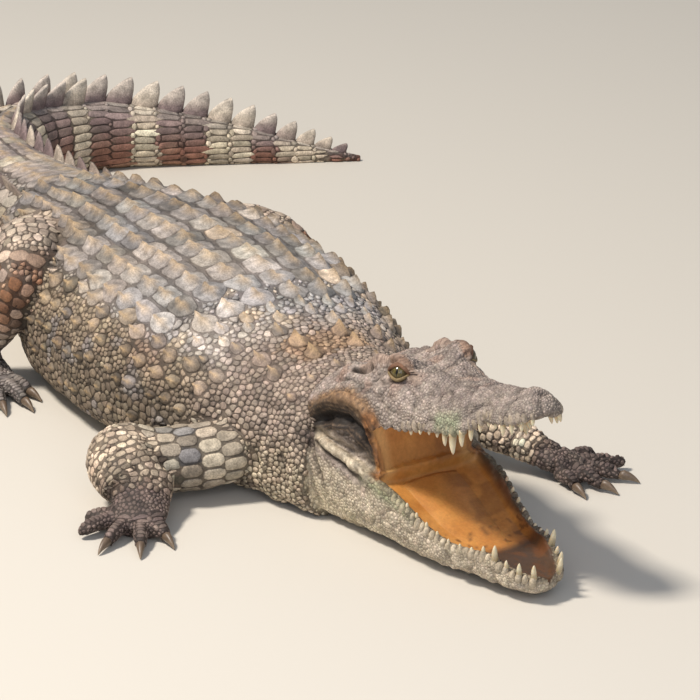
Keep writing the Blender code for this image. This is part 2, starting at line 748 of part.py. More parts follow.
def make_limb(limb, parts, cutters):
    upper_name, lower_name, hand_name = LIMB_NAMES[limb]
    upper = loft(upper_name, upper_rings(limb), parts)
    lower = loft(lower_name, lower_rings(limb), parts)
    cut(upper, f"{upper_name}_end_cutter", beyond_elbow(limb, 1), cutters)
    cut(lower, f"{lower_name}_end_cutter", beyond_elbow(limb, -1), cutters)
    hand_rings = sole_rings if limb.endswith("leg") else palm_rings
    cut(lower, f"{hand_name}_cutter", hand_rings(limb, GAP), cutters)
    body = part_rings(GAP)
    for solid in (upper, lower):
        cut(solid, f"{solid.name}_body_cutter", [*body["neck"], *body["trunk"]], cutters)
    add_digits(limb, loft(hand_name, hand_rings(limb), parts), parts, cutters)


def sole_rings(limb, grow=0.0):
    """Rings of a foot's flat sole, from behind the heel to the roots of its digits."""
    ankle = np.array(LIMBS[limb][-1][0])
    heading = math.radians(sum(heading for heading, _ in DIGITS[limb]) / len(DIGITS[limb]))
    ahead = np.array([math.cos(heading), math.sin(heading), 0])
    left = np.array([-math.sin(heading), math.cos(heading), 0])
    rings = []
    for index, (far, half, thick) in enumerate(SOLE):
        centre = ankle * [1, 1, 0] + (far - (0 if index else grow)) * ahead + [0, 0, thick - SOLE_DEPTH]
        rings.append(oval(centre, left, half + grow, thick + grow))
    return rings


def palm_rings(limb, grow=0.0):
    """Rings of a flat palm that leaves the wrist along the forearm and turns to face its digits."""
    points = LIMBS[limb]
    last = len(points) - 1
    wrist, width, depth = limb_curve(points, last)
    first, end = (math.radians(DIGITS[limb][k][0]) for k in (0, -1))
    arriving = wrist - limb_curve(points, last - 0.1)[0]
    arriving = math.atan2(arriving[1], arriving[0])
    turn = (first + end) / 2 - arriving
    reach = PALM_LENGTH[limb]
    widest = 0.35 * reach * abs(first - end) + 0.4 * DIGIT_RADIUS
    rings = [limb_ring(points, last, GAP / 2 - grow)]
    centre, before = wrist.copy(), 0.0
    for share in (0.4, 0.75, 1.0):
        half = width + (widest - width) * share
        thick = PALM_HALF_DEPTH + (depth - PALM_HALF_DEPTH) * (1 - share)
        heading = arriving + turn * share
        left = np.array([-math.sin(heading), math.cos(heading), 0])
        centre = centre + (share - before) * reach * np.array([math.cos(heading), math.sin(heading), 0])
        before = share
        level = centre * [1, 1, 0] + [0, 0, wrist[2] + (thick - SOLE_DEPTH - wrist[2]) * share]
        rings.append(oval(level, left, half + grow, thick + grow))
    return rings


def add_digits(limb, hand, parts, cutters):
    """Joins the digits to a palm or sole, with a claw at the end of each of the first three."""
    wrist = np.array(LIMBS[limb][-1][0])
    for number, (heading, length) in enumerate(DIGITS[limb]):
        toe, end, tangent = digit(wrist, math.radians(heading), length, number, cutters, PALM_LENGTH[limb])
        boolean(hand, toe, "UNION")
        if number < 3:
            make_claw(f"{hand.name}_claw_{number + 1}", end, tangent, parts)


def digit(wrist, heading, length, number, group, reach):
    """One digit from inside the palm: low over the floor, with a knuckle, its end cut square for the claw."""
    clawed = number < 3
    ahead = np.array([math.cos(heading), math.sin(heading), 0])
    ground = np.array([wrist[0], wrist[1], 0])
    end_length = length - (CLAW_LENGTH * 0.8 if clawed else 0.0)
    knuckle = 0.5 * (reach * 0.7 + end_length)
    path = (
        (reach * 0.62, 0.018, DIGIT_RADIUS),
        (reach * 0.85, 0.0185, DIGIT_RADIUS * 1.1),
        (knuckle, 0.0185, DIGIT_RADIUS * 1.08),
        (0.6 * end_length + 0.4 * knuckle, 0.0155, DIGIT_RADIUS * 0.98),
        (end_length, 0.0105, DIGIT_RADIUS * (0.8 if clawed else 0.45)),
    )
    rings = []
    for index, (far, height, radius) in enumerate(path):
        before, after = path[max(index - 1, 0)], path[min(index + 1, len(path) - 1)]
        tangent = (after[0] - before[0]) * ahead + (after[1] - before[1]) * np.array([0, 0, 1])
        tangent = tangent / np.linalg.norm(tangent)
        rings.append(circle(ground + far * ahead + [0, 0, height], tangent, radius, 6))
    toe = loft("digit", rings, group, floor=0.0004 * (number + 1))
    return toe, ground + end_length * ahead + [0, 0, path[-1][1]], tangent


def oval(centre, left, half, thick):
    angles = np.arange(LIMB_SIDES) * 2 * math.pi / LIMB_SIDES
    return centre + np.outer(np.cos(angles) * half, left) + np.outer(np.sin(angles) * thick, [0, 0, 1])


def circle(centre, tangent, radius, around):
    level = np.cross([0, 0, 1], tangent)
    level = level / np.linalg.norm(level)
    up = np.cross(tangent, level)
    angles = np.arange(around) * 2 * math.pi / around
    return centre + radius * (np.outer(np.cos(angles), level) + np.outer(np.sin(angles), up))


def make_claw(name, base, tangent, parts):
    """A claw that curves down to the floor from the square end of its digit."""
    rings = []
    for share in np.linspace(0, 1, 4):
        bend = math.radians(38) * share
        level = np.array([tangent[0], tangent[1], 0]) / np.linalg.norm(tangent[:2])
        turned = math.cos(bend) * level - math.sin(bend) * np.array([0, 0, 1])
        drop = CLAW_LENGTH * (1 - math.cos(bend)) / math.radians(38)
        reach = CLAW_LENGTH * math.sin(bend) / math.radians(38)
        centre = base + GAP * tangent + level * reach + np.array([0, 0, 0.0022 - drop])
        rings.append(circle(centre, turned, CLAW_RADIUS * (1 - 0.86 * share**1.4), 6))
    rings[0] = circle(base + GAP * tangent, tangent, CLAW_RADIUS, 6)
    return loft(name, rings, parts, CLAW)


def main():
    clear_scene()
    parts, cutters = collection("crocodile"), collection("cutters")
    make_body(parts, cutters)
    make_jaws(parts, cutters)
    for limb in LIMBS:
        make_limb(limb, parts, cutters)


main()
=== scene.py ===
"""The looks of a life-size basking crocodile: a skin, a coat of horny scales, lids, teeth, claws and eyes.

Lengths are in metres and angles in degrees. +X runs forward along the trunk, +Y to the animal's left, +Z up.
"""

import json
import math

import bpy
import numpy as np
from mathutils import Matrix, Vector
from mathutils.bvhtree import BVHTree
from mathutils.kdtree import KDTree

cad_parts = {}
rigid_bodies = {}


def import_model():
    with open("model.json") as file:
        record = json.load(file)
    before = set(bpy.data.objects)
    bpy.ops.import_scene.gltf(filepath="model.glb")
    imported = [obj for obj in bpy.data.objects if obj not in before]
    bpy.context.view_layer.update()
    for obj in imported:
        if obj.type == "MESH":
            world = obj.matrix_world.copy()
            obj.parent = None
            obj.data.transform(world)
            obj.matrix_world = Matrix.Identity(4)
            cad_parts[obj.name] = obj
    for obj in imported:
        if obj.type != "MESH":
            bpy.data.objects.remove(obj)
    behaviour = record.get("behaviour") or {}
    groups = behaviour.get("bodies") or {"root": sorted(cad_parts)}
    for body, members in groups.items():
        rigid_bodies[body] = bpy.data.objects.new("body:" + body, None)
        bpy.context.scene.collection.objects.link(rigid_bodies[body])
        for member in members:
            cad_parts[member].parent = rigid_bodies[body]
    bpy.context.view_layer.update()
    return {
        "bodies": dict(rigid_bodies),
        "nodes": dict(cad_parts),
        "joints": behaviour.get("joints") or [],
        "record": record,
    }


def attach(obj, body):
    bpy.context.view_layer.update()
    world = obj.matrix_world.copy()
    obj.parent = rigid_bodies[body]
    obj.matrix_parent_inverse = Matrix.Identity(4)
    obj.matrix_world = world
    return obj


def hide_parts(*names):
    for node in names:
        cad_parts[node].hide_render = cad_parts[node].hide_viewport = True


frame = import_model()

DRAW = np.random.default_rng(7)

# ---------------------------------------------------------------- sizes shared with the solids

GAP = 0.0005
FLAT_DEPTH = 0.007  # how much of the round belly the floor flattens
SOLE_DEPTH = 0.0025
BELLY_STATION = 0.62  # distance from the jaw joint back to the origin, along the spine
TAIL_TIP = 2.34
# Station along the spine, and the heading there: 0 faces +X and positive turns to the left.
HEADINGS = (
    (0.0, 2), (0.25, -2), (0.5, -3), (0.9, 0), (1.1, -7), (1.35, -14),
    (1.57, -39), (1.765, -86), (1.96, -118), (2.6, -124),
)
# Station, half width, height of the widest point, height of the back.
BODY_SECTIONS = (
    (0.0, 0.13, 0.08, 0.222),
    (0.1, 0.157, 0.076, 0.219),
    (0.22, 0.204, 0.082, 0.233),
    (0.35, 0.24, 0.092, 0.253),
    (0.5, 0.259, 0.1, 0.265),
    (0.65, 0.255, 0.102, 0.267),
    (0.8, 0.21, 0.105, 0.258),
    (0.92, 0.168, 0.107, 0.242),
    (1.0, 0.148, 0.107, 0.228),
    (1.2, 0.115, 0.1, 0.202),
    (1.5, 0.086, 0.088, 0.172),
    (1.75, 0.064, 0.076, 0.143),
    (1.93, 0.046, 0.062, 0.116),
    (2.09, 0.031, 0.042, 0.08),
    (2.2, 0.02, 0.025, 0.048),
    (2.28, 0.012, 0.014, 0.027),
    (TAIL_TIP, 0.004, 0.006, 0.012),
)
BELLY_POWER = ((0.0, 0.45), (0.3, 0.42), (0.8, 0.5), (1.1, 0.75), (TAIL_TIP, 0.85))
KEEL_ANGLES = (6.0, 18.5, 31.0, 43.5)
SHIELD = (0.27, 1.0)  # stations between which the trunk's scute rows lie
SCUTE_ROWS = 15
CREST_START, CREST_MEETS, CREST_END = 1.024, 1.82, 2.32
CREST_PITCH = ((1.0, 0.046), (1.6, 0.049), (1.9, 0.048), (2.1, 0.042), (2.25, 0.032), (2.34, 0.022))
CREST_HEIGHT = (
    (1.0, 0.014), (1.3, 0.026), (1.6, 0.036), (1.86, 0.047),
    (2.05, 0.044), (2.2, 0.032), (2.28, 0.018), (TAIL_TIP, 0.008),
)
CREST_SPREAD = ((1.0, 34.0), (1.5, 26.0), (1.82, 12.0))
CREST_LEAN = 0.55  # a blade's lean outwards, as a share of its angle from the top
CREST_OVERLAP = 0.56  # a blade's half length, as a share of the pitch

# The head, in a frame at the middle of the jaw joint: x forward, y left, z up.
JOINT_HEIGHT = 0.147
UPPER_PITCH, LOWER_PITCH = 17.0, -13.0
GAPE = math.radians(UPPER_PITCH - LOWER_PITCH)
COMMISSURE = 0.125
CHEEK = 0.8
UPPER_TIP, LOWER_TIP = 0.455, 0.456
TIP_ROUNDING = 0.012
# x, half width, height of the top, height of the tooth line.
UPPER_JAW = (
    (-0.05, 0.105, 0.078, 0.0),
    (0.0, 0.12, 0.082, 0.002),
    (0.05, 0.119, 0.085, 0.004),
    (0.1, 0.109, 0.086, 0.0),
    (0.15, 0.096, 0.084, -0.004),
    (0.2, 0.084, 0.072, -0.006),
    (0.25, 0.073, 0.059, -0.008),
    (0.295, 0.07, 0.052, -0.014),
    (0.33, 0.06, 0.046, -0.008),
    (0.36, 0.048, 0.04, 0.004),
    (0.39, 0.049, 0.039, 0.001),
    (0.42, 0.045, 0.038, 0.0),
    (0.44, 0.036, 0.036, 0.002),
    (0.45, 0.022, 0.032, 0.008),
    (UPPER_TIP, 0.008, 0.023, 0.013),
)
# x, y, spread, height of each rise on the upper jaw, on both sides where y is not 0.
HEAD_RISES = (
    (0.176, 0.051, 0.026, 0.035),  # brow over the eye
    (0.13, 0.06, 0.022, 0.016),  # brow's rear
    (0.07, 0.066, 0.024, 0.016),  # bony crest behind the eye
    (0.035, 0.058, 0.018, 0.01),  # rear corner of the skull
    (0.225, 0.036, 0.02, 0.006),  # ridge in front of the eye
    (0.424, 0.012, 0.013, 0.005),  # nostrils
    (0.11, 0.0, 0.035, -0.008),  # hollow between the crests
)
# x, half width, heights of the rim and the underside, half width and height of the mouth's floor.
LOWER_JAW = (
    (0.0, 0.12, 0.0, -0.157, 0.09, -0.02),
    (0.06, 0.117, 0.0, -0.144, 0.09, -0.02),
    (0.12, 0.109, 0.0, -0.124, 0.087, -0.02),
    (0.18, 0.102, 0.0, -0.106, 0.082, -0.026),
    (0.22, 0.097, -0.006, -0.095, 0.078, -0.032),
    (0.26, 0.09, -0.016, -0.086, 0.071, -0.038),
    (0.3, 0.081, -0.019, -0.075, 0.062, -0.038),
    (0.34, 0.071, -0.011, -0.066, 0.05, -0.03),
    (0.375, 0.061, 0.0, -0.056, 0.04, -0.02),
    (0.4, 0.055, -0.002, -0.05, 0.032, -0.015),
    (0.424, 0.046, -0.004, -0.044, 0.022, -0.013),
    (0.44, 0.036, -0.003, -0.04, 0.012, -0.01),
    (0.45, 0.024, -0.002, -0.034, 0.006, -0.007),
    (LOWER_TIP, 0.008, -0.004, -0.026, 0.002, -0.007),
)
# Length of each tooth in millimetres, from the front of the jaw back.
UPPER_TEETH = (9, 11, 14, 16, 8, 7, 10, 14, 18, 26, 16, 11, 8, 8, 9, 8, 7, 6)
LOWER_TEETH = (18, 16, 10, 21, 9, 8, 8, 9, 11, 14, 13, 11, 9, 8, 6)
EYE_CENTRE, EYE_RADIUS = (0.178, 0.0572, 0.076), 0.0162

LIMBS = {
    "right_arm": (
        ((0.47, -0.12, 0.075), 0.055, 0.05),
        ((0.455, -0.21, 0.065), 0.056, 0.049),
        ((0.43, -0.29, 0.062), 0.052, 0.05),
        ((0.412, -0.336, 0.07), 0.053, 0.054),
        ((0.443, -0.347, 0.062), 0.059, 0.05),
        ((0.476, -0.346, 0.048), 0.054, 0.04),
        ((0.498, -0.355, 0.037), 0.045, 0.029),
    ),
    "left_arm": (
        ((0.42, 0.1, 0.09), 0.055, 0.05),
        ((0.465, 0.165, 0.085), 0.052, 0.048),
        ((0.52, 0.198, 0.078), 0.044, 0.044),
        ((0.56, 0.208, 0.07), 0.039, 0.04),
        ((0.6, 0.225, 0.06), 0.037, 0.036),
        ((0.633, 0.244, 0.047), 0.033, 0.03),
        ((0.662, 0.261, 0.034), 0.031, 0.024),
    ),
    "right_leg": (
        ((-0.28, -0.07, 0.13), 0.07, 0.07),
        ((-0.215, -0.15, 0.168), 0.074, 0.066),
        ((-0.14, -0.2, 0.194), 0.062, 0.055),
        ((-0.095, -0.232, 0.186), 0.05, 0.048),
        ((-0.115, -0.262, 0.125), 0.046, 0.044),
        ((-0.148, -0.28, 0.07), 0.036, 0.034),
        ((-0.16, -0.285, 0.03), 0.029, 0.027),
    ),
    "left_leg": (
        ((-0.27, 0.08, 0.11), 0.07, 0.07),
        ((-0.205, 0.16, 0.138), 0.072, 0.064),
        ((-0.13, 0.212, 0.155), 0.062, 0.055),
        ((-0.085, 0.245, 0.145), 0.05, 0.048),
        ((-0.115, 0.275, 0.105), 0.046, 0.044),
        ((-0.15, 0.29, 0.065), 0.036, 0.034),
        ((-0.165, 0.295, 0.03), 0.029, 0.027),
    ),
}
DIGITS = {
    "right_arm": ((-5, 0.112), (-30, 0.135), (-57, 0.132), (-86, 0.112), (-108, 0.086)),
    "left_arm": ((-2, 0.114), (20, 0.134), (43, 0.145), (66, 0.128), (88, 0.092)),
    "right_leg": ((12, 0.15), (0, 0.18), (-14, 0.178), (-30, 0.15)),
    "left_leg": ((-12, 0.15), (2, 0.18), (16, 0.178), (32, 0.15)),
}
DIGIT_RADIUS = 0.0125
CLAW_LENGTH, CLAW_RADIUS = 0.03, 0.0068
CLAW_BEND = 38.0
CLAW_SLANT = math.radians(22)  # how steeply a digit's end falls
CLAWED = 3  # digits with a claw on each hand and foot
PALM_LENGTH = {"right_arm": 0.062, "left_arm": 0.066, "right_leg": 0.1, "left_leg": 0.1}
PALM_HALF_DEPTH = 0.017
SOLE = (
    (-0.036, 0.016, 0.016), (-0.022, 0.031, 0.027), (0.012, 0.038, 0.028), (0.06, 0.042, 0.021),
    (0.1, 0.05, 0.016),
)

# ---------------------------------------------------------------- sizes of the skin and coat

VOXEL = 0.003  # grain of the skin's mesh
SKIN_DEPTH = 0.0022  # how far the skin lies inside the solids
FLOOR_CLEARANCE = 0.0003
PATCH_SIZE = 0.0014  # half of a scale's patch on the unwrap
# The skin's parts. Limbs come in the order of LIMBS.
BODY, ARMS, LEGS, HANDS, FEET, UPPER, LOWER = 0, (1, 2), (3, 4), (5, 6), (7, 8), 9, 10
# How square a scale's outline is where no neighbour crowds it: 2 is round.
OVAL, PEBBLE, PLATE, TILE = 8.0, 9.0, 12.0, 14.0


# ---------------------------------------------------------------- curves and frames


def smooth(table, at):
    """Values of a table at any stations, by cubic pieces that never overshoot it."""
    rows = np.array(table, float)
    x, y = rows[:, 0], rows[:, 1:]
    step = np.diff(x)[:, None]
    slope = np.diff(y, axis=0) / step
    before, after = slope[:-1], slope[1:]
    same_way = before * after > 0
    mean = np.where(same_way, 2 * before * after / np.where(same_way, before + after, 1), 0)
    tangent = np.vstack([slope[:1], mean, slope[-1:]])
    at = np.atleast_1d(np.asarray(at, float))
    i = np.clip(np.searchsorted(x, at) - 1, 0, len(x) - 2)
    t = np.clip((at - x[i]) / (x[i + 1] - x[i]), 0, 1)[:, None]
    h = step[i]
    start = y[i] * (1 + 2 * t) + tangent[i] * h * t
    end = y[i + 1] * (3 - 2 * t) - tangent[i + 1] * h * (1 - t)
    return start * (1 - t) ** 2 + end * t**2


def trace_spine():
    stations = np.arange(0.0, TAIL_TIP + 0.1, 0.005)
    heading = np.radians(smooth(HEADINGS, stations)[:, 0])
    steps = 0.005 * np.stack([-np.cos(heading), -np.sin(heading)], axis=1)
    points = np.vstack([[0, 0], np.cumsum((steps[1:] + steps[:-1]) / 2, axis=0)])
    origin = [np.interp(BELLY_STATION, stations, points[:, k]) for k in (0, 1)]
    return stations, points - origin, heading


SPINE = trace_spine()


def spine_at(station):
    """x and y of the floor under the spine, and the heading in radians, at any stations."""
    stations, points, heading = SPINE
    return [np.interp(station, stations, values) for values in (points[:, 0], points[:, 1], heading)]


def power(value, exponent):
    return np.sign(value) * np.abs(value) ** exponent


def unit(vectors):
    return vectors / np.maximum(np.linalg.norm(vectors, axis=-1, keepdims=True), 1e-12)


def ease(low, high, value):
    """0 below low, 1 above high, and a smooth step between."""
    t = np.clip((value - low) / (high - low), 0, 1)
    return t * t * (3 - 2 * t)


def body_points(station, angle, lift=0.0):
    """World points of the neck, trunk and tail at stations and at angles from the top, left side positive."""
    station, angle = np.broadcast_arrays(np.asarray(station, float), np.asarray(angle, float))
    half, middle, top = smooth(BODY_SECTIONS, station.ravel()).T.reshape(3, *station.shape)
    belly = smooth(BELLY_POWER, station.ravel())[:, 0].reshape(station.shape)
    side, rise = np.sin(np.radians(angle)), np.cos(np.radians(angle))
    y = (half + lift) * power(side, 0.88)
    upper = (top - middle + lift) * power(rise, 0.95)
    lower = (middle + FLAT_DEPTH + lift) * power(rise, belly)
    z = middle + np.where(rise > 0, upper, lower)
    x0, y0, heading = spine_at(station)
    return np.stack([x0 - np.sin(heading) * y, y0 + np.cos(heading) * y, z], -1)


def head_frame(pitch):
    x, y, heading = spine_at(0.0)
    place = Matrix.Translation((x, y, JOINT_HEIGHT))
    return np.array(place @ Matrix.Rotation(heading, 4, "Z") @ Matrix.Rotation(-math.radians(pitch), 4, "Y"))


UPPER_FRAME, LOWER_FRAME = head_frame(UPPER_PITCH), head_frame(LOWER_PITCH)


def moved(matrix, points):
    points = np.atleast_2d(points)
    return points @ matrix[:3, :3].T + matrix[:3, 3]


def within(matrix, points):
    """World points in a jaw's own frame."""
    return (points - matrix[:3, 3]) @ matrix[:3, :3]


def value_noise(points, grain, seed=0):
    """Smooth noise from -1 to 1 that varies over about one grain."""
    at = np.asarray(points) / grain + 100.0
    cell = np.floor(at).astype(np.int64)
    part = at - cell
    part = part * part * (3 - 2 * part)
    total = 0.0
    for corner in range(8):
        offset = np.array([corner & 1, corner >> 1 & 1, corner >> 2 & 1])
        key = (cell + offset) @ np.array([73856093, 19349663, 83492791]) + seed * 1013904223
        key = (key ^ (key >> 13)) * 1274126177 & 0x7FFFFFFF
        key = (key ^ (key >> 15)) * 668265263 & 0x7FFFFFFF
        weight = np.where(offset == 1, part, 1 - part).prod(-1)
        total = total + weight * ((key % 65536) / 32767.5 - 1)
    return total


def flecks(points, size, seed):
    """Smooth noise from 0 to 1."""
    return value_noise(points, size, seed) * 0.5 + 0.5


# ---------------------------------------------------------------- the skin's shells


def upper_jaw_ring(x, across=41):
    """A section of the head in its own frame: over the top from left to right, then back along the palate."""
    half, top, edge = smooth(UPPER_JAW, x)[0]
    theta = np.radians(np.linspace(90, -90, across))
    boxy = np.interp(x, (0.0, 0.2, 0.3), (0.62, 0.7, 0.85))
    y = half * power(np.sin(theta), 0.9)
    z = edge + (top - edge) * power(np.cos(theta), boxy)
    total = 0.0
    for at_x, at_y, spread, height in HEAD_RISES:
        for side in (1, -1) if at_y else (1,):
            total = total + height * np.exp(-((x - at_x) ** 2 + (y - side * at_y) ** 2) / spread**2)
    z = z + total * np.cos(theta) ** 0.5
    inside = np.linspace(-0.95, 0.95, 17)
    if x < COMMISSURE:
        inside = inside * np.interp(x, (0.0, 0.06), (1.0, CHEEK / 0.95))
        roof = np.full(17, min(-math.tan(GAPE) * x, edge - 0.001))
    else:
        vault = np.interp(x, (COMMISSURE, 0.3, 0.44), (0.02, 0.012, 0.004))
        roof = edge - 0.001 + vault * (1 - np.abs(inside) ** 3)
    ring_y = np.concatenate([y, inside * half])
    return np.stack([np.full(len(ring_y), x), ring_y, np.concatenate([z, roof])], axis=1)


def lower_jaw_ring(x, open_mouth=True):
    """A section of the lower jaw in its own frame: round its outside, then over the mouth's floor."""
    half, rim, under, floor_half, floor = smooth(LOWER_JAW, x)[0]
    if not open_mouth:
        rim = floor = 0.0
    depth = rim - under
    inner = floor_half + 0.3 * (half - floor_half)
    left = np.array([
        (0.0, floor),
        (0.6 * floor_half, floor),
        (floor_half, floor + 0.25 * (rim - floor)),
        (inner, rim - 0.001),
        (half - 0.005, rim),
        (half, rim - 0.006),
        (half * 1.02, rim - 0.25 * depth),
        (half * 0.99, rim - 0.55 * depth),
        (half * 0.88, rim - 0.83 * depth),
        (half * 0.62, rim - 0.98 * depth),
        (0.0, under),
    ])
    share = np.arange(31) / 3
    left = np.stack([np.interp(share, np.arange(11), left[:, k]) for k in (0, 1)], axis=1)
    section = np.vstack([left, left[-2:0:-1] * [-1, 1]])[::-1]
    return np.stack([np.full(len(section), x), section[:, 0], section[:, 1]], axis=1)


def between(first, last, steps):
    """Rings that pass evenly from one ring to another."""
    return [first + (last - first) * share for share in np.linspace(0, 1, steps + 2)[1:-1]]


class Shells:
    """Closed lofts that overlap. Each point has its part, two places on the part, and 1 inside the mouth."""

    def __init__(self):
        self.points, self.faces, self.tags, self.count = [], [], [], 0

    def add(self, rings, part, along, around, lining=0.0):
        rings = np.asarray(rings)
        rows, sides = rings.shape[:2]
        grid = np.arange(rows * sides).reshape(rows, sides) + self.count
        near, far = grid[:-1], grid[1:]
        quads = np.stack([near, np.roll(near, -1, 1), np.roll(far, -1, 1), far], -1).reshape(-1, 4)
        first = self.count + rows * sides
        caps = [(first, (j + 1) % sides + self.count, j + self.count) for j in range(sides)]
        caps += [(first + 1, grid[-1, j], grid[-1, (j + 1) % sides]) for j in range(sides)]
        self.faces += [*quads.tolist(), *caps]
        self.points += [rings.reshape(-1, 3), rings[:1].mean(1), rings[-1:].mean(1)]
        along = np.broadcast_to(np.reshape(along, (-1, 1)), (rows, sides))
        around = np.broadcast_to(around, (rows, sides))
        lining = np.broadcast_to(lining, (rows, sides))
        tags = np.stack([np.full((rows, sides), part), along, around, lining], -1)
        self.tags += [tags.reshape(-1, 4), tags[0, :1], tags[-1, :1]]
        self.count += rows * sides + 2


def limb_frames(limb):
    """Centre, level and upward directions, half width and half depth, closely along a limb."""
    rows = np.array([[*centre, width, depth] for centre, width, depth in LIMBS[limb]])
    last = len(rows) - 1
    t = np.linspace(0, last, 121)
    i = np.minimum(t.astype(int), last - 1)
    u = (t - i)[:, None]
    before, start, end, after = (rows[np.clip(i + k, 0, last)] for k in (-1, 0, 1, 2))
    values = 0.5 * (
        2 * start
        + (end - before) * u
        + (2 * before - 5 * start + 4 * end - after) * u**2
        + (3 * start - before - 3 * end + after) * u**3
    )
    centre = values[:, :3]
    ahead = unit(np.gradient(centre, axis=0))
    for _ in range(4):
        before, after = np.roll(ahead, 1, 0) * (t > 0)[:, None], np.roll(ahead, -1, 0) * (t < last)[:, None]
        ahead = unit(ahead + before + after)
    level = unit(np.cross([0, 0, 1], ahead))
    return t, centre, level, np.cross(ahead, level), values[:, 3], values[:, 4], ahead


FRAMES = {limb: limb_frames(limb) for limb in LIMBS}


def limb_points(limb, t, angle, lift=0.0):
    """World points on a limb at t, counted in its points, and at angles round it from its level side."""
    t, angle = np.broadcast_arrays(np.asarray(t, float), np.radians(angle))
    at, centre, level, up, width, depth, _ = FRAMES[limb]

    def value(table):
        return np.stack([np.interp(t, at, table[:, k]) for k in range(3)], -1)

    across = (np.interp(t, at, width) + lift) * np.cos(angle)
    rise = (np.interp(t, at, depth) + lift) * np.sin(angle)
    return value(centre) + across[..., None] * value(level) + rise[..., None] * value(up)


def oval(centre, left, half, thick, sides=24):
    angles = np.arange(sides) * 2 * math.pi / sides
    return centre + np.outer(np.cos(angles) * half, left) + np.outer(np.sin(angles) * thick, [0, 0, 1])


def circle(centre, tangent, radius, sides=14):
    level = unit(np.cross([0, 0, 1], tangent))
    up = np.cross(tangent, level)
    angles = np.arange(sides) * 2 * math.pi / sides
    return centre + radius * (np.outer(np.cos(angles), level) + np.outer(np.sin(angles), up))


def flat_heading(degrees):
    return np.array([math.cos(math.radians(degrees)), math.sin(math.radians(degrees)), 0])


def sole_rings(limb):
    ankle = np.array(LIMBS[limb][-1][0])
    heading = sum(heading for heading, _ in DIGITS[limb]) / len(DIGITS[limb])
    ahead, left = flat_heading(heading), flat_heading(heading + 90)
    stations = np.linspace(SOLE[0][0], SOLE[-1][0], 18)
    return [
        oval(ankle * [1, 1, 0] + far * ahead + [0, 0, thick - SOLE_DEPTH], left, half, thick)
        for far, (half, thick) in zip(stations, smooth(SOLE, stations))
    ]


def palm_rings(limb):
    wrist, width, depth = (np.array(value) for value in LIMBS[limb][-1])
    first, end = DIGITS[limb][0][0], DIGITS[limb][-1][0]
    ahead = FRAMES[limb][-1][-1]
    arriving = math.degrees(math.atan2(ahead[1], ahead[0]))
    turn = (first + end) / 2 - arriving
    reach = PALM_LENGTH[limb]
    widest = 0.35 * reach * math.radians(abs(first - end)) + 0.4 * DIGIT_RADIUS
    rings = []
    centre, before = wrist.copy(), 0.0
    for share in np.linspace(0.0, 1.0, 10):
        half = width + (widest - width) * share
        thick = PALM_HALF_DEPTH + (depth - PALM_HALF_DEPTH) * (1 - share)
        centre = centre + (share - before) * reach * flat_heading(arriving + turn * share)
        before = share
        level = centre * [1, 1, 0] + [0, 0, wrist[2] + (thick - SOLE_DEPTH - wrist[2]) * share]
        rings.append(oval(level, flat_heading(arriving + turn * share + 90), half, thick))
    return rings


def digit_path(limb, number):
    """(distance ahead of the wrist, height, radius) along a digit."""
    length, reach = DIGITS[limb][number][1], PALM_LENGTH[limb]
    clawed = number < CLAWED
    end = length - (CLAW_LENGTH * 0.8 if clawed else 0.0)
    knuckle = 0.5 * (reach * 0.7 + end)
    return np.array([
        (reach * 0.62, 0.018, DIGIT_RADIUS),
        (reach * 0.85, 0.0185, DIGIT_RADIUS * 1.1),
        (knuckle, 0.0185, DIGIT_RADIUS * 1.08),
        (0.6 * end + 0.4 * knuckle, 0.0155, DIGIT_RADIUS * 0.98),
        (end, 0.0105, DIGIT_RADIUS * (0.8 if clawed else 0.45)),
    ])


def digit_end(limb, number):
    """(end of the digit, its direction there)."""
    path = digit_path(limb, number)
    ahead = flat_heading(DIGITS[limb][number][0])
    ground = np.array([*LIMBS[limb][-1][0][:2], 0.0])
    tangent = unit((path[-1, 0] - path[-2, 0]) * ahead + (path[-1, 1] - path[-2, 1]) * np.array([0, 0, 1.0]))
    return ground + path[-1, 0] * ahead + [0, 0, path[-1, 1]], tangent


def digit_rings(limb, number):
    path = digit_path(limb, number)
    ahead = flat_heading(DIGITS[limb][number][0])
    ground = np.array([*LIMBS[limb][-1][0][:2], 0.0])
    rings = []
    for far in np.linspace(path[0, 0], path[-1, 0], 14):
        height, radius = smooth(path, far)[0]
        rise = (smooth(path, far + 0.002)[0, 0] - smooth(path, far - 0.002)[0, 0]) / 0.004
        rings.append(circle(ground + far * ahead + [0, 0, height], unit(ahead + [0, 0, rise]), radius))
    return rings


def to_tip(first, tip):
    """Stations from the mouth's corner forward, closer together over the rounded tip."""
    rounded = tip - TIP_ROUNDING * (1 - np.sin(np.linspace(0.1, 1, 6) * math.pi / 2))
    return np.append(np.arange(first, tip - TIP_ROUNDING, 0.005), rounded)


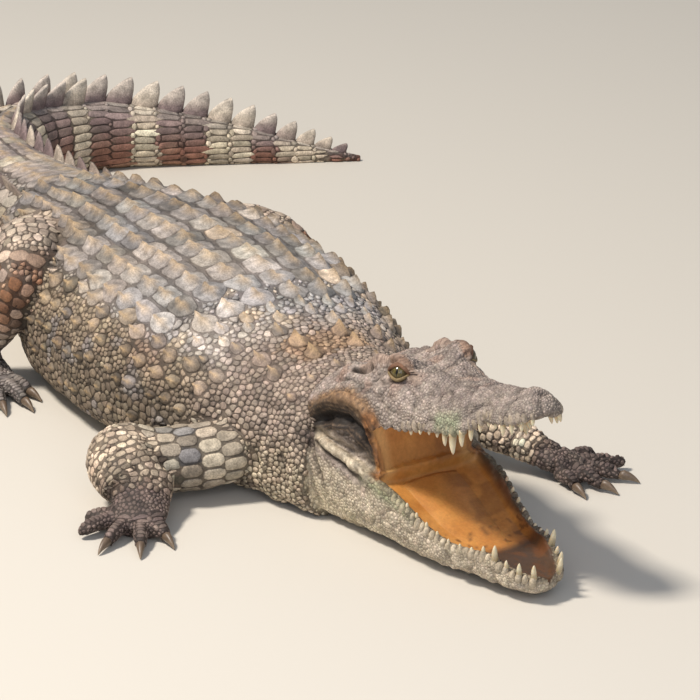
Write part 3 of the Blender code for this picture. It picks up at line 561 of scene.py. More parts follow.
def make_shells():
    shells = Shells()
    stations = np.append(np.arange(0.0, TAIL_TIP, 0.008), TAIL_TIP)
    angles = np.linspace(-180, 180, 73)[:-1]
    shells.add(body_points(stations[:, None], angles), BODY, stations, angles)

    behind = np.linspace(-0.004, COMMISSURE - 0.002, 18)
    ahead = to_tip(COMMISSURE, UPPER_TIP)
    rings = [upper_jaw_ring(x) for x in behind]
    wall = between(rings[-1], upper_jaw_ring(ahead[0]), 16)
    rings = [*rings, *wall, *(upper_jaw_ring(x) for x in ahead)]
    along = [*behind, *[COMMISSURE] * 16, *ahead]
    lining = np.zeros((len(rings), 58))
    lining[len(behind):, 42:57] = 1.0
    share = np.concatenate([np.linspace(1, -1, 41), np.linspace(-0.95, 0.95, 17)])
    shells.add([moved(UPPER_FRAME, ring) for ring in rings], UPPER, along, share, lining)

    corner = COMMISSURE / math.cos(GAPE)
    behind = np.linspace(0.0, corner - 0.002, 18)
    ahead = to_tip(corner, LOWER_TIP)
    rings = [lower_jaw_ring(x, False) for x in behind]
    wall = between(rings[-1], lower_jaw_ring(ahead[0]), 4)
    rings = [*rings, *wall, *(lower_jaw_ring(x) for x in ahead)]
    along = [*behind, *[corner] * 4, *ahead]
    order = np.concatenate([np.arange(31), np.arange(29, 0, -1)])[::-1] / 30
    lining = np.zeros((len(rings), 60))
    lining[len(behind):, order < 0.32] = 1.0
    shells.add([moved(LOWER_FRAME, ring) for ring in rings], LOWER, along, order, lining)

    for part, limb in enumerate(LIMBS, 1):
        t, angles = np.linspace(0, 6, 73), np.arange(0, 360, 12)
        shells.add(limb_points(limb, t[:, None], angles), part, t, angles)
        hand = palm_rings(limb) if limb.endswith("arm") else sole_rings(limb)
        shells.add(hand, part + 4, np.linspace(0, 1, len(hand)), 9.0)
        for number in range(len(DIGITS[limb])):
            rings = digit_rings(limb, number)
            shells.add(rings, part + 4, 1 + np.linspace(0, 1, len(rings)), float(number))
    return shells


# ---------------------------------------------------------------- the skin


def new_object(name, points, faces, smooth_faces=True):
    mesh = bpy.data.meshes.new(name)
    mesh.from_pydata(np.asarray(points).tolist(), [], faces)
    if smooth_faces:
        mesh.shade_smooth()
    obj = bpy.data.objects.new(name, mesh)
    bpy.context.scene.collection.objects.link(obj)
    return obj


def with_modifier(obj, kind, inputs=(), **settings):
    """The object's mesh after one modifier, which isn't kept."""
    modifier = obj.modifiers.new(kind, kind)
    for name, value in settings.items():
        setattr(modifier, name, value)
    for label, value in inputs:
        modifier[modifier.node_group.interface.items_tree[label].identifier] = value
    bpy.context.view_layer.update()
    mesh = bpy.data.meshes.new_from_object(obj.evaluated_get(bpy.context.evaluated_depsgraph_get()))
    obj.modifiers.remove(modifier)
    obj.data = mesh
    return obj


def shade(code):
    """A linear colour from an sRGB hex code."""
    values = np.array([int(code[k : k + 2], 16) / 255 for k in (1, 3, 5)])
    return np.where(values <= 0.04045, values / 12.92, ((values + 0.055) / 1.055) ** 2.4)


def feed(tree, node, inputs):
    """Sets a node's inputs, by name or number: a socket is joined, and a hex code becomes its colour."""
    for key, value in inputs.items():
        if isinstance(value, bpy.types.NodeSocket):
            tree.links.new(value, node.inputs[key])
        else:
            colour = isinstance(value, str) and value[0] == "#"
            node.inputs[key].default_value = (*shade(value), 1.0) if colour else value


def add_node(tree, kind, inputs, output=0, **settings):
    """The chosen output of a new node with its settings and inputs."""
    node = tree.nodes.new(kind)
    for name, value in settings.items():
        setattr(node, name, value)
    feed(tree, node, inputs)
    return node.outputs[output]


def places(mesh):
    values = np.empty(len(mesh.vertices) * 3)
    mesh.vertices.foreach_get("co", values)
    return values.reshape(-1, 3)


def normals(mesh):
    values = np.empty(len(mesh.vertices) * 3)
    mesh.vertices.foreach_get("normal", values)
    return values.reshape(-1, 3)


def edges(mesh):
    values = np.empty(len(mesh.edges) * 2, np.int32)
    mesh.edges.foreach_get("vertices", values)
    return values.reshape(-1, 2)


def put(mesh, points):
    mesh.vertices.foreach_set("co", np.ascontiguousarray(points).ravel())
    mesh.update()


def neighbour_mean(values, pairs):
    """The mean of each point's neighbours, for each column of values."""
    count = len(values)
    a, b = pairs.T
    degree = np.bincount(pairs.ravel(), minlength=count)
    totals = (np.bincount(a, column[b], count) + np.bincount(b, column[a], count) for column in values.T)
    return np.stack([total / degree for total in totals], axis=1)


def relax(points, pairs, rounds):
    """Evens a mesh out without shrinking it."""
    for number in range(rounds):
        points = points + (0.5, -0.52)[number % 2] * (neighbour_mean(points, pairs) - points)
    return points


def nearest(tree, points):
    return np.array([tree.find(point)[1] for point in points])


def tree_of(points):
    tree = KDTree(len(points))
    for number, point in enumerate(points):
        tree.insert(point, number)
    tree.balance()
    return tree


def make_skin():
    """(the skin, and for each point its part, two places on the part and its share of mouth lining)."""
    shells = make_shells()
    obj = new_object("skin", np.vstack(shells.points), shells.faces)
    with_modifier(obj, "REMESH", mode="VOXEL", voxel_size=VOXEL)
    put(obj.data, relax(places(obj.data), edges(obj.data), 10))

    coarse = 1 - ease(-0.03, 0.0, within(UPPER_FRAME, places(obj.data))[:, 0])
    group = obj.vertex_groups.new(name="plain")
    for level in (0.25, 0.5, 0.75, 1.0):
        group.add(np.flatnonzero(np.abs(coarse - level) <= 0.125).tolist(), level, "REPLACE")
    share = 192000 / (2 * len(obj.data.polygons))
    with_modifier(obj, "DECIMATE", ratio=share, vertex_group="plain", vertex_group_factor=1.0)
    obj.vertex_groups.clear()
    obj.data.shade_smooth()
    tags = np.vstack(shells.tags)
    tree = tree_of(np.vstack(shells.points))
    found = nearest(tree, places(obj.data))
    return obj, tags[found]


def near_path(points, path):
    """Each point's distance from a path of straight lengths, and how far along it that is, 0 to 1."""
    path = np.array(path, float)
    best, share = np.full(len(points), 9.0), np.zeros(len(points))
    for number, (start, end) in enumerate(zip(path[:-1], path[1:])):
        span = end - start
        t = np.clip((points - start) @ span / (span @ span), 0, 1)
        away = np.linalg.norm(points - start - t[:, None] * span, axis=1)
        closer = away < best
        best = np.where(closer, away, best)
        share = np.where(closer, (number + t) / (len(path) - 1), share)
    return best, share


def to_left(points):
    """Places in a jaw's frame, with those on the right mirrored to the left."""
    return points * np.where(points[:, 1:2] < 0, [1, -1, 1], 1)


def on_smooth_skin(head_points, which):
    """True near the head's bare folds: 1 where no granule grows, 2 where the skin is painted as bare."""
    mirrored = to_left(head_points)
    return np.any([near_path(mirrored, row[0])[0] < row[which] for row in SMOOTH_SKIN], axis=0)


# Ridges (+) and folds (-) of the head in the upper jaw's frame, on both sides: path, width, height.
BROW = ((0.21, 0.054, 0.066), (0.19, 0.057, 0.087), (0.169, 0.056, 0.0985), (0.148, 0.055, 0.094),
        (0.13, 0.055, 0.092), (0.112, 0.056, 0.086), (0.09, 0.059, 0.086))
EAR_SLIT = ((0.075, 0.0715, 0.083), (0.09, 0.069, 0.084), (0.116, 0.066, 0.0845))
LID_LINES = (
    ((0.12, 0.0847, 0.0637), (0.14, 0.081, 0.065), (0.1643, 0.0764, 0.0643)),
    ((0.1317, 0.0789, 0.0687), (0.1537, 0.0684, 0.0788)),
)
NOSTRIL = ((0.42, 0.008, 0.053), (0.428, 0.014, 0.052), (0.434, 0.019, 0.044))
PORE = (0.415, 0.034)  # a pit low on each side of the snout, painted near black as shade: along, and up
CRESCENT = ((0.006, 0.118, 0.022), (0.03, 0.117, 0.038), (0.062, 0.111, 0.047), (0.094, 0.104, 0.045),
            (0.122, 0.101, 0.029), (0.136, 0.098, 0.01), (0.136, 0.092, -0.015), (0.13, 0.088, -0.04),
            (0.127, 0.087, -0.065))
HOLLOW = ((0.015, 0.118, 0.012), (0.05, 0.116, 0.02), (0.085, 0.11, 0.014), (0.11, 0.1, -0.008),
          (0.118, 0.092, -0.04))
MUSCLE = ((0.02, 0.119, -0.014), (0.048, 0.116, -0.024), (0.076, 0.11, -0.04), (0.098, 0.102, -0.062))
MUSCLE_LINE = ((0.01, 0.12, -0.016), (0.045, 0.116, -0.04), (0.075, 0.112, -0.058), (0.1, 0.105, -0.075))
JAW_CREASE = ((-0.002, 0.122, 0.035), (-0.005, 0.122, -0.02), (0.002, 0.116, -0.07), (0.02, 0.1, -0.11))
HEAD_FOLDS = (
    (BROW, 0.008, 0.008),
    (BROW[3:], 0.009, 0.007),
    (EAR_SLIT, 0.0055, -0.013),
    (((0.07, 0.082, 0.075), (0.1, 0.086, 0.073), (0.125, 0.088, 0.07)), 0.006, 0.002),
    *((line, 0.0032, -0.005) for line in LID_LINES),
    (((0.235, 0.04, 0.07), (0.27, 0.036, 0.06), (0.31, 0.034, 0.052)), 0.007, 0.003),
    (((0.2, 0.08, 0.03), (0.24, 0.072, 0.024), (0.265, 0.068, 0.02)), 0.006, -0.002),
    (NOSTRIL, 0.0035, -0.006),
    (CRESCENT, 0.0075, 0.0045),
    (JAW_CREASE, 0.006, -0.007),
    (HOLLOW, 0.0095, -0.014),
    (HOLLOW, 0.022, -0.005),
    (MUSCLE, 0.012, 0.009),
    (((0.33, 0.0, 0.046), (0.38, 0.0, 0.042), (0.42, 0.0, 0.044), (0.44, 0.0, 0.034)), 0.024, 0.006),
    (((0.35, 0.0, 0.046), (0.4, 0.0, 0.042)), 0.02, 0.004),
    (((0.455, 0.0, 0.014), (0.448, 0.02, 0.014)), 0.016, 0.006),
    (MUSCLE_LINE, 0.0035, -0.004),
)
# Path, how far from it no granule grows, and how far from it the skin is painted as bare.
SMOOTH_SKIN = (
    (BROW, 0.009, 0.01), (EAR_SLIT, 0.0095, 0.009), *((line, 0.0065, 0.006) for line in LID_LINES),
    (HOLLOW, 0.022, 0.023), (MUSCLE, 0.024, 0.025), (MUSCLE_LINE, 0.007, 0.007),
    (CRESCENT, 0.0125, 0.0125), (CRESCENT[5:], 0.017, 0.018), (NOSTRIL, 0.007, 0.006),
)
# Slits, lid lines, the muscle line and the nostrils, painted near black as shade: path and width.
DARK_LINES = (
    (EAR_SLIT, 0.008), *((line, 0.0036) for line in LID_LINES), (MUSCLE_LINE, 0.006), (NOSTRIL, 0.005),
)
FORE_CREASES = 22.0  # turns of the creases across the forearms and shanks, along their own measure
EYE_AXIS = (0.6, 0.75, 0.2)  # the way the left eye faces
LID_WIDTH, LID_RISE, LID_DROP = 70.0, 40.0, 41.0  # how far the lids open from the eye's axis
LID_CORNER = 1.5  # 2 makes an oval opening, less makes the corners sharper
LIDS_REACH = 1.9  # how many openings wide the smooth lids are


def eye_axes():
    """(outward, forward, upward) directions of the left eye in the upper jaw's frame."""
    out = unit(np.array(EYE_AXIS))
    forward = unit(np.array([1.0, 0, 0]) - out[0] * out)
    forward = unit(forward - np.array([0, 0, 0.12]))
    forward = unit(forward - (forward @ out) * out)
    return out, forward, np.cross(forward, out) * np.sign(np.cross(forward, out)[2])


def open_lids(head_points):
    """Draws the skin over each eyeball as lids, and behind the ball where they are open."""
    out, forward, up = eye_axes()
    away = to_left(head_points) - EYE_CENTRE
    far = np.linalg.norm(away, axis=1)
    facing, level, high = away @ out, away @ forward, away @ up
    wide = np.degrees(np.arctan2(level, facing)) / LID_WIDTH
    rise = np.degrees(np.arctan2(high, facing))
    tall = rise / np.where(rise > 0, LID_RISE, LID_DROP)
    opening = (np.abs(wide) ** LID_CORNER + np.abs(tall) ** LID_CORNER) ** (1 / LID_CORNER)
    close = (far < EYE_RADIUS + 0.016) & (facing > 0)
    under = ease(10, -10, rise)
    swell = 0.0034 * ease(LIDS_REACH, 1.1, opening) * (1 - under) + 0.0022 * ease(1.3, 1.05, opening) * under
    groove = 0.003 * under * ease(1.25, 1.5, opening) * ease(2.2, 1.7, opening)
    lid = np.maximum(far, EYE_RADIUS + swell + 0.0006) - groove
    target = np.where(opening < 1, EYE_RADIUS - 0.005, lid)
    scale = np.where(close, target / np.maximum(far, 1e-6), 1.0)
    moved_points = np.array(EYE_CENTRE) + away * scale[:, None]
    moved_points[:, 1] *= np.sign(head_points[:, 1])
    return np.where(close[:, None], moved_points, head_points), np.where(close, opening, 9.0)


def slack_folds(points):
    """0 in the valleys between folds of slack skin, and more towards their tops."""
    return np.abs(value_noise(points * [1.8, 1, 0.4], 0.034, 6))


def shape_skin(obj, tags):
    """Insets the skin, then gives it the head's ridges, folds and lids, the throat and the body's creases."""
    mesh = obj.data
    part, lining = tags[:, 0], tags[:, 3]
    points, outward = places(mesh), normals(mesh)
    pairs = edges(mesh)
    for _ in range(2):
        lining = 0.5 * lining + 0.5 * neighbour_mean(lining[:, None], pairs)[:, 0]
    head = within(UPPER_FRAME, points)
    in_head = ease(-0.03, 0.01, head[:, 0])
    points = points - outward * (SKIN_DEPTH * (1 - 0.8 * lining))[:, None]
    rest = points

    jaw = within(LOWER_FRAME, points)
    throat_side = ease(0.09, 0.082, np.abs(head[:, 1])) * ease(0.0, -0.008, head[:, 2])
    throat_side = throat_side * ease(-0.04, -0.03, jaw[:, 2])
    lining = lining * (1 - ease(0.428, 0.442, head[:, 0]) * ease(-0.004, 0.002, head[:, 2]))
    lining = np.maximum(lining, throat_side * (head[:, 0] > 0.07) * (head[:, 0] < 0.16))
    mirrored = to_left(head)
    skin_side = (1 - ease(0.3, 0.8, lining)) * in_head
    lift = np.zeros(len(points))
    for path, width, height in HEAD_FOLDS:
        away, share = near_path(mirrored, path)
        fade = np.clip(np.minimum(share, 1 - share) * 8 + 0.3, 0, 1)
        lift += height * np.exp(-((away / width) ** 2)) * fade
    rough = value_noise(points, 0.013, 1) * 0.0022 + value_noise(points, 0.006, 2) * 0.0012
    rough = rough - 0.003 * ease(0.16, 0.0, np.abs(value_noise(points, 0.03, 3)))
    lift = lift * skin_side + rough * skin_side
    # the slack skin of the neck and of the limbs' roots lies in low folds
    slack = np.where(part == BODY, ease(0.42, 0.2, tags[:, 1]) * ease(40, 75, np.abs(tags[:, 2])), 0.35)
    folds = value_noise(points * [1.5, 1.0, 0.4], 0.03, 5) * 0.0022 + slack * 0.0095 * slack_folds(points)
    folds = folds * (1 - in_head)
    on_arm = (part > 0) & (part < 5)
    folds -= 0.0022 * on_arm * ease(2.7, 3.2, tags[:, 1]) * ease(0.3, 0.9, np.sin(tags[:, 1] * FORE_CREASES))
    points = points + outward * (lift + folds * ((part == BODY) | (part < 5)))[:, None]

    head = within(UPPER_FRAME, points)
    throat = ((part == UPPER) & (lining > 0.5) & (np.abs(tags[:, 1] - COMMISSURE) < 0.002)).astype(float)
    deep = throat * np.clip(1 - (head[:, 1] / 0.085) ** 2, 0, 1) * ease(0.02, -0.02, head[:, 2])
    head[:, 0] -= 0.016 * deep
    head, opening = open_lids(head)
    points = np.where(in_head[:, None] > 0, moved(UPPER_FRAME, head), points)
    points[:, 2] = np.maximum(points[:, 2], 0.001)
    put(mesh, points)
    return lining, opening, rest


# ---------------------------------------------------------------- where the scales grow


class Coat:
    """The scales to be made, with their half lengths and widths, and two places on the part each is on."""

    FIELDS = (
        "point", "lie", "length", "width", "height", "keel", "square", "part", "along", "around", "rest",
    )

    def __init__(self):
        self.rows = {name: [] for name in self.FIELDS}
        self.groups = []

    def add(self, group, point, lie, length, width, height, keel, square, part, along, around, rest=None):
        count = len(point)
        if not count:
            return
        rest = point if rest is None else rest
        values = (point, lie, length, width, height, keel, square, part, along, around, rest)
        for name, value in zip(self.FIELDS, values):
            shape = (count, 3) if name in ("point", "lie", "rest") else (count,)
            self.rows[name].append(np.broadcast_to(np.asarray(value, float), shape).copy())
        self.groups += [group] * count

    def add_on_body(self, group, stations, angles, length, width, height, keel, square):
        point, lie = body_points(stations, angles), body_lie(np.atleast_1d(stations))
        self.add(group, point, lie, length, width, height, keel, square, BODY, stations, angles)

    def all(self):
        return {name: np.concatenate(rows) for name, rows in self.rows.items()}


def clear_of(coat, points, size, share=0.8):
    """True for points whose own half size keeps them off every scale already placed."""
    if not coat.groups:
        return np.ones(len(points), bool)
    rows = coat.all()
    own = np.sqrt(rows["length"] * rows["width"])
    tree = tree_of(rows["point"])
    reach = own.max() + np.max(size)
    size = np.broadcast_to(size, (len(points),))
    kept = np.ones(len(points), bool)
    for number, (point, half) in enumerate(zip(points, size)):
        for _, index, away in tree.find_range(point, reach):
            if away < share * (own[index] + half):
                kept[number] = False
                break
    return kept


def sprinkle(points, size, rng, taken=(), taken_size=()):
    """Indices of points, picked in random order, that keep clear of each other and of what is taken."""
    cell = 2.05 * np.max(size)
    grid = {}
    for place, half in zip(taken, taken_size):
        low, high = ((place + k * (half + cell / 2)) // cell for k in (-1, 1))
        for key in np.ndindex(*(high - low + 1).astype(int)):
            grid.setdefault(tuple((low + key).astype(int)), []).append((*place, half))
    picked, order = [], rng.permutation(len(points))
    nearby = sorted(np.ndindex(3, 3, 3), key=(1, 1, 1).__ne__)  # a point's own cell comes first
    for number, (a, b, c) in zip(order, (points[order] // cell).astype(int) - 1):
        x, y, z = points[number]
        half = size[number]
        crowded = any(
            (x - px) ** 2 + (y - py) ** 2 + (z - pz) ** 2 < (0.92 * (half + other)) ** 2
            for i, j, k in nearby
            for px, py, pz, other in grid.get((a + i, b + j, c + k), ())
        )
        if not crowded:
            picked.append(number)
            grid.setdefault((a + 1, b + 1, c + 1), []).append((x, y, z, half))
    return np.array(picked, int)


def body_lie(station):
    """The direction towards the tail's tip at stations."""
    heading = spine_at(station)[2]
    return np.stack([-np.cos(heading), -np.sin(heading), np.zeros_like(heading)], -1)


def body_row(station, angles, offset, pitch):
    """Angles evenly spaced by arc length between two angles round the body at one station, and their gap."""
    fine = np.linspace(*angles, 200)
    run = np.linalg.norm(np.diff(body_points(station, fine), axis=0), axis=1).cumsum()
    run = np.concatenate([[0], run])
    count = max(1, int(round(run[-1] / pitch)))
    at = np.interp((np.arange(count) + 0.5 + offset) / count * run[-1], run, fine)
    return at[at <= angles[1]], run[-1] / count


def place_back(coat):
    """The back's shield: rows of large keeled scutes from the shoulders to the hips."""
    rows = np.linspace(*SHIELD, SCUTE_ROWS + 1)
    pitch = rows[1] - rows[0]
    for number, start in enumerate(rows[:-1]):
        station = start + 0.5 * pitch
        keels = KEEL_ANGLES[:3] if number in (0, SCUTE_ROWS - 1) else KEEL_ANGLES
        for side in (1, -1):
            for column, angle in enumerate(keels):
                angle = angle + DRAW.normal(0, 0.7)
                point = body_points([station + DRAW.normal(0, 0.003)], side * angle)
                ends = (body_points([station], side * (angle + step)) for step in (6.2, -6.2))
                width = np.linalg.norm(np.subtract(*ends)) / 2
                keel = (0.0085, 0.01, 0.011, 0.0125)[column] * DRAW.uniform(0.7, 1.3)
                coat.add("back_scutes", point, body_lie(np.array([station])), 0.5 * pitch, width,
                         0.0026, keel, PLATE, BODY, station, side * angle)
    # the cluster of tall scutes on the nape, and the short row behind the skull
    for station, angle, size, keel in (
        (0.112, 11, 0.022, 0.0125), (0.116, 36, 0.019, 0.011), (0.155, 10, 0.023, 0.0125),
        (0.158, 32, 0.02, 0.012), (0.196, 12, 0.018, 0.009), (0.205, 33, 0.014, 0.007),
        (0.05, 12, 0.011, 0.006), (0.052, 30, 0.011, 0.0065), (0.056, 47, 0.01, 0.005),
        (0.228, 6, 0.013, 0.006), (0.232, 20, 0.013, 0.006), (0.236, 34, 0.012, 0.005),
        (0.256, 5, 0.014, 0.006), (0.257, 17, 0.014, 0.007), (0.259, 29, 0.014, 0.007),
        (0.262, 41, 0.013, 0.006), (0.235, 48, 0.01, 0.004),
    ):
        for side in (1, -1):
            point = body_points([station + DRAW.normal(0, 0.002)], side * angle)
            coat.add("back_scutes", point, body_lie(np.array([station])), size, size * 0.72, 0.0022,
                     keel, PEBBLE, BODY, station, side * angle)


def place_flanks(coat):
    """Pebbles in rows down the flanks, with lines of larger keeled ovals, and plates under the belly."""
    for line, (angle, size, keel, pitch) in enumerate((
        (53, 0.0165, 0.0075, 0.043), (65, 0.0135, 0.0055, 0.042), (78, 0.0115, 0.0035, 0.036),
        (92, 0.0095, 0.002, 0.03),
    )):
        stations = np.arange(0.2 + 0.012 * line, 1.0, pitch)
        stations = stations + DRAW.normal(0, 0.005, len(stations))
        for side in (1, -1):
            own = size * DRAW.uniform(0.7, 1.12, len(stations))
            angles = side * (angle + DRAW.normal(0, 1.8, len(stations)))
            coat.add_on_body("flank_scales", stations, angles, own * 1.15, own * 0.92, 0.0036,
                             keel * own / size, OVAL)
    for span, pitch, tall in (((46, 82), 0.0092, 0.0016), ((82, 128), 0.0138, 0.0021)):
        for number, station in enumerate(np.arange(0.21, 1.01, pitch)):
            for side in (1, -1):
                angles, _ = body_row(station, span, 0.5 * (number % 2), pitch * 0.96)
                waver = 0.004 * np.sin(np.radians(angles * 3))
                stations = station + waver + DRAW.normal(0, 0.16 * pitch, len(angles))
                angles = side * (angles + DRAW.normal(0, 0.8, len(angles)))
                kept = clear_of(coat, body_points(stations, angles), pitch * 0.44)
                own = pitch * 0.5 * DRAW.uniform(0.88, 1.12, kept.sum())
                height = tall * DRAW.uniform(0.7, 1.2, kept.sum())
                coat.add_on_body("flank_scales", stations[kept], angles[kept], own, own * 0.94, height,
                                 0.0, PEBBLE)
    for station in np.arange(0.05, 1.0, 0.0243):
        angles, gap = body_row(station, (129, 231), 0.0, 0.027)
        angles = np.where(angles > 180, angles - 360, angles)
        stations = np.full(len(angles), station)
        kept = clear_of(coat, body_points(stations, angles), 0.008)
        coat.add_on_body("belly_plates", stations[kept], angles[kept], 0.0122, gap / 2, 0.0012, 0.0, PEBBLE)


def place_neck(coat):
    """Small granules in rows round the neck, growing towards the shoulder."""
    station = 0.004
    number = 0
    while station < 0.215:
        pitch = 0.0082 + 0.003 * ease(0.0, 0.2, station)
        for side in (1, -1):
            angles, _ = body_row(station, (0, 128), 0.5 * (number % 2), pitch * 0.95)
            waver = 0.006 * np.sin(np.radians(angles * 4))
            stations = station + waver + DRAW.normal(0, 0.18 * pitch, len(angles))
            angles = side * (angles + DRAW.normal(0, 0.7, len(angles)))
            kept = clear_of(coat, body_points(stations, angles), pitch * 0.42)
            own = pitch * DRAW.uniform(0.38, 0.56, kept.sum())
            height = DRAW.uniform(0.0012, 0.0024, kept.sum())
            coat.add_on_body("neck_scales", stations[kept], angles[kept], own * 1.06, own * 0.96, height,
                             0.0, PEBBLE)
        station += pitch
        number += 1


def place_tail(coat):
    """Whorls of oblong scales round the tail, one for each blade of its crest."""
    at = CREST_START
    while at < CREST_END:
        pitch = smooth(CREST_PITCH, at)[0, 0]
        spread = float(np.interp(at, *np.array(CREST_SPREAD).T)) if at < CREST_MEETS else 0.0
        height = 0.024 * np.interp(at, (1.0, 2.34), (1.0, 0.42))
        first = spread + (5.0 if at >= CREST_MEETS else 4.0)
        for side in (1, -1):
            angles, gap = body_row(at, (first, 180.0), 0.0, height)
            angles = side * angles
            stations = at + DRAW.normal(0, 0.001, len(angles))
            coat.add_on_body("tail_scales", stations, angles, pitch / 2, gap / 2, 0.0016, 0.0, TILE)
        if spread > 12:
            stations, angles = np.full(2, at), np.array([-spread / 3, spread / 3])
            across = np.linalg.norm(body_points(at, spread) - body_points(at, -spread))
            coat.add_on_body("tail_scales", stations, angles, pitch / 2, 0.42 * across / 2, 0.002, 0.002,
                             PEBBLE)
        at += pitch


def place_limbs(coat):
    """Oblong scales in bands round the limbs: large on the upper arm and thigh, smaller towards the wrist."""
    for part, limb in enumerate(LIMBS, 1):
        at, centre, *_, width, depth, _ = FRAMES[limb]
        run = np.concatenate([[0], np.linalg.norm(np.diff(centre, axis=0), axis=1).cumsum()])
        arm = limb.endswith("arm")
        far, number = 0.0, 0
        while far < run[-1] - 0.004:
            t = float(np.interp(far, run, at))
            pitches = (0.034, 0.031, 0.0102, 0.0085) if arm else (0.024, 0.023, 0.017, 0.011)
            pitch = float(np.interp(t, (0, 2.2, 3.0, 6), pitches))
            w, d = np.interp(t, at, width), np.interp(t, at, depth)
            perimeter = math.pi * (w + d)
            count = max(8, round(perimeter / (pitch * (0.8 if pitch > 0.02 else 1.7))))
            angles = (np.arange(count) + 0.5 * (number % 2)) * 360 / count + DRAW.normal(0, 1.2, count)
            point = limb_points(limb, t, angles)
            lie = np.stack([np.interp(t, at, FRAMES[limb][-1][:, k]) for k in range(3)], -1)
            coat.add("limb_scales", point, lie, pitch / 2, perimeter / count / 2,
                     0.0009 + 0.04 * (pitch - 0.009), 0.0, PLATE, part, t, angles)
            far += pitch
            number += 1


def place_digits(coat):
    """A line of plates along the top of each digit."""
    for part, limb in enumerate(LIMBS, 5):
        ground = np.array([*LIMBS[limb][-1][0][:2], 0.0])
        for number, (heading, _) in enumerate(DIGITS[limb]):
            path = digit_path(limb, number)
            ahead = flat_heading(heading)
            for far in np.arange(path[1, 0] + 0.004, path[-1, 0] - 0.002, 0.0078):
                height, radius = smooth(path, far)[0]
                point = ground + far * ahead + [0, 0, height + radius]
                coat.add("hand_scales", point[None], ahead, 0.004, radius * 0.8, 0.0013, 0.0, PEBBLE,
                         part, 2.0, number)


def skin_samples(mesh, count, rng, weight):
    """Random places on the skin, as dense as the weight of its points, and a point of the skin near each."""
    mesh.calc_loop_triangles()
    corners = np.empty(len(mesh.loop_triangles) * 3, np.int32)
    mesh.loop_triangles.foreach_get("vertices", corners)
    corners = corners.reshape(-1, 3)
    points = places(mesh)
    a, b, c = (points[corners[:, k]] for k in range(3))
    area = np.linalg.norm(np.cross(b - a, c - a), axis=1)
    area *= weight[corners[:, 0]]
    chosen = rng.choice(len(corners), count, p=area / area.sum())
    u, v = rng.random((2, count))
    u, v = np.where(u + v > 1, 1 - u, u), np.where(u + v > 1, 1 - v, v)
    place = a[chosen] + u[:, None] * (b - a)[chosen] + v[:, None] * (c - a)[chosen]
    return place, corners[chosen, 0]


def place_granules(coat, mesh, tags, lining, opening, rest):
    """Small irregular scales wherever the rows leave the skin bare: on the head, the hands and in creases."""
    rng = np.random.default_rng(11)
    part = tags[:, 0]
    shield = (part == BODY) & (np.abs(tags[:, 2]) < 50) & (tags[:, 1] > 0.33) & (tags[:, 1] < SHIELD[1])
    bare = (lining < 0.3) & (opening > LIDS_REACH) & ~shield
    weight = np.select([part >= UPPER, part >= HANDS[0], part >= ARMS[0]], [5.0, 3.0, 1.1], 0.7) * bare
    point, own = skin_samples(mesh, 210000, rng, weight)
    rest = point + (rest - places(mesh))[own]
    part = tags[own, 0]
    head = part >= UPPER
    size = np.select([part >= HANDS[0], part >= ARMS[0]], [0.0029, 0.0044], 0.0048)
    place = within(UPPER_FRAME, rest)
    size = np.where(head, 0.002 + 0.0008 * ease(0.35, 0.05, place[:, 0]), size)
    size = size * rng.choice([0.78, 1.0, 1.4], len(size), p=[0.4, 0.45, 0.15])
    kept = (opening[own] > LIDS_REACH) & ~(on_smooth_skin(place, 1) & head)
    point, own, size, rest = point[kept], own[kept], size[kept], rest[kept]
    rows = coat.all()
    on_tail = (rows["part"] == BODY) & (rows["along"] > 1.0)
    broad = (rows["width"] > 0.0085) & (rows["part"] > 0) | (rows["width"] > 0.004) & on_tail
    taken = np.sqrt(rows["length"] * rows["width"]) * np.where(broad, 1.35, 0.95)
    picked = sprinkle(point, size, rng, rows["point"], taken)
    point, own, size, rest = point[picked], own[picked], size[picked], rest[picked]
    part, along, around = tags[own, 0], tags[own, 1], tags[own, 2]
    lie = body_lie(np.where(part == BODY, along, 0.0))
    for number, limb in enumerate(LIMBS, 1):
        t = np.clip(np.where(part == number, along, 6.0), 0, 6)
        on_limb = (part == number) | (part == number + 4)
        ahead = np.stack([np.interp(t, FRAMES[limb][0], FRAMES[limb][-1][:, k]) for k in range(3)], -1)
        lie = np.where(on_limb[:, None], ahead, lie)
    for group, chosen in (
        ("head_scales", part == UPPER), ("jaw_scales", part == LOWER),
        ("hand_scales", np.isin(part, HANDS + FEET)), ("limb_scales", np.isin(part, ARMS + LEGS)),
        ("crease_scales", part == BODY),
    ):
        tall = np.select([part == LOWER, part >= UPPER, part >= HANDS[0]], [0.0003, 0.0006, 0.0005], 0.0012)
        tall = tall * rng.uniform(0.6, 1.5, len(part)) * size / 0.003
        stretch = rng.uniform(0.9, 1.15, len(part))
        values = (point, lie, size * stretch, size / stretch, tall)
        coat.add(group, *(value[chosen] for value in values), 0.0, PEBBLE, part[chosen], along[chosen],
                 around[chosen], rest[chosen])


# ---------------------------------------------------------------- markings


def blend(first, second, share):
    first, second = (shade(value) if isinstance(value, str) else value for value in (first, second))
    share = np.clip(np.asarray(share, float), 0, 1)[..., None]
    return first * (1 - share) + second * share


def jaw_rim_gap(jaw_place):
    """How far places on the lower jaw lie below its rim."""
    return smooth(LOWER_JAW, jaw_place[:, 0])[:, 1] - jaw_place[:, 2]


def beside(points, path, width):
    """1 on a path of straight lengths, and 0 from a width away."""
    return ease(width, 0.4 * width, near_path(points, path)[0])


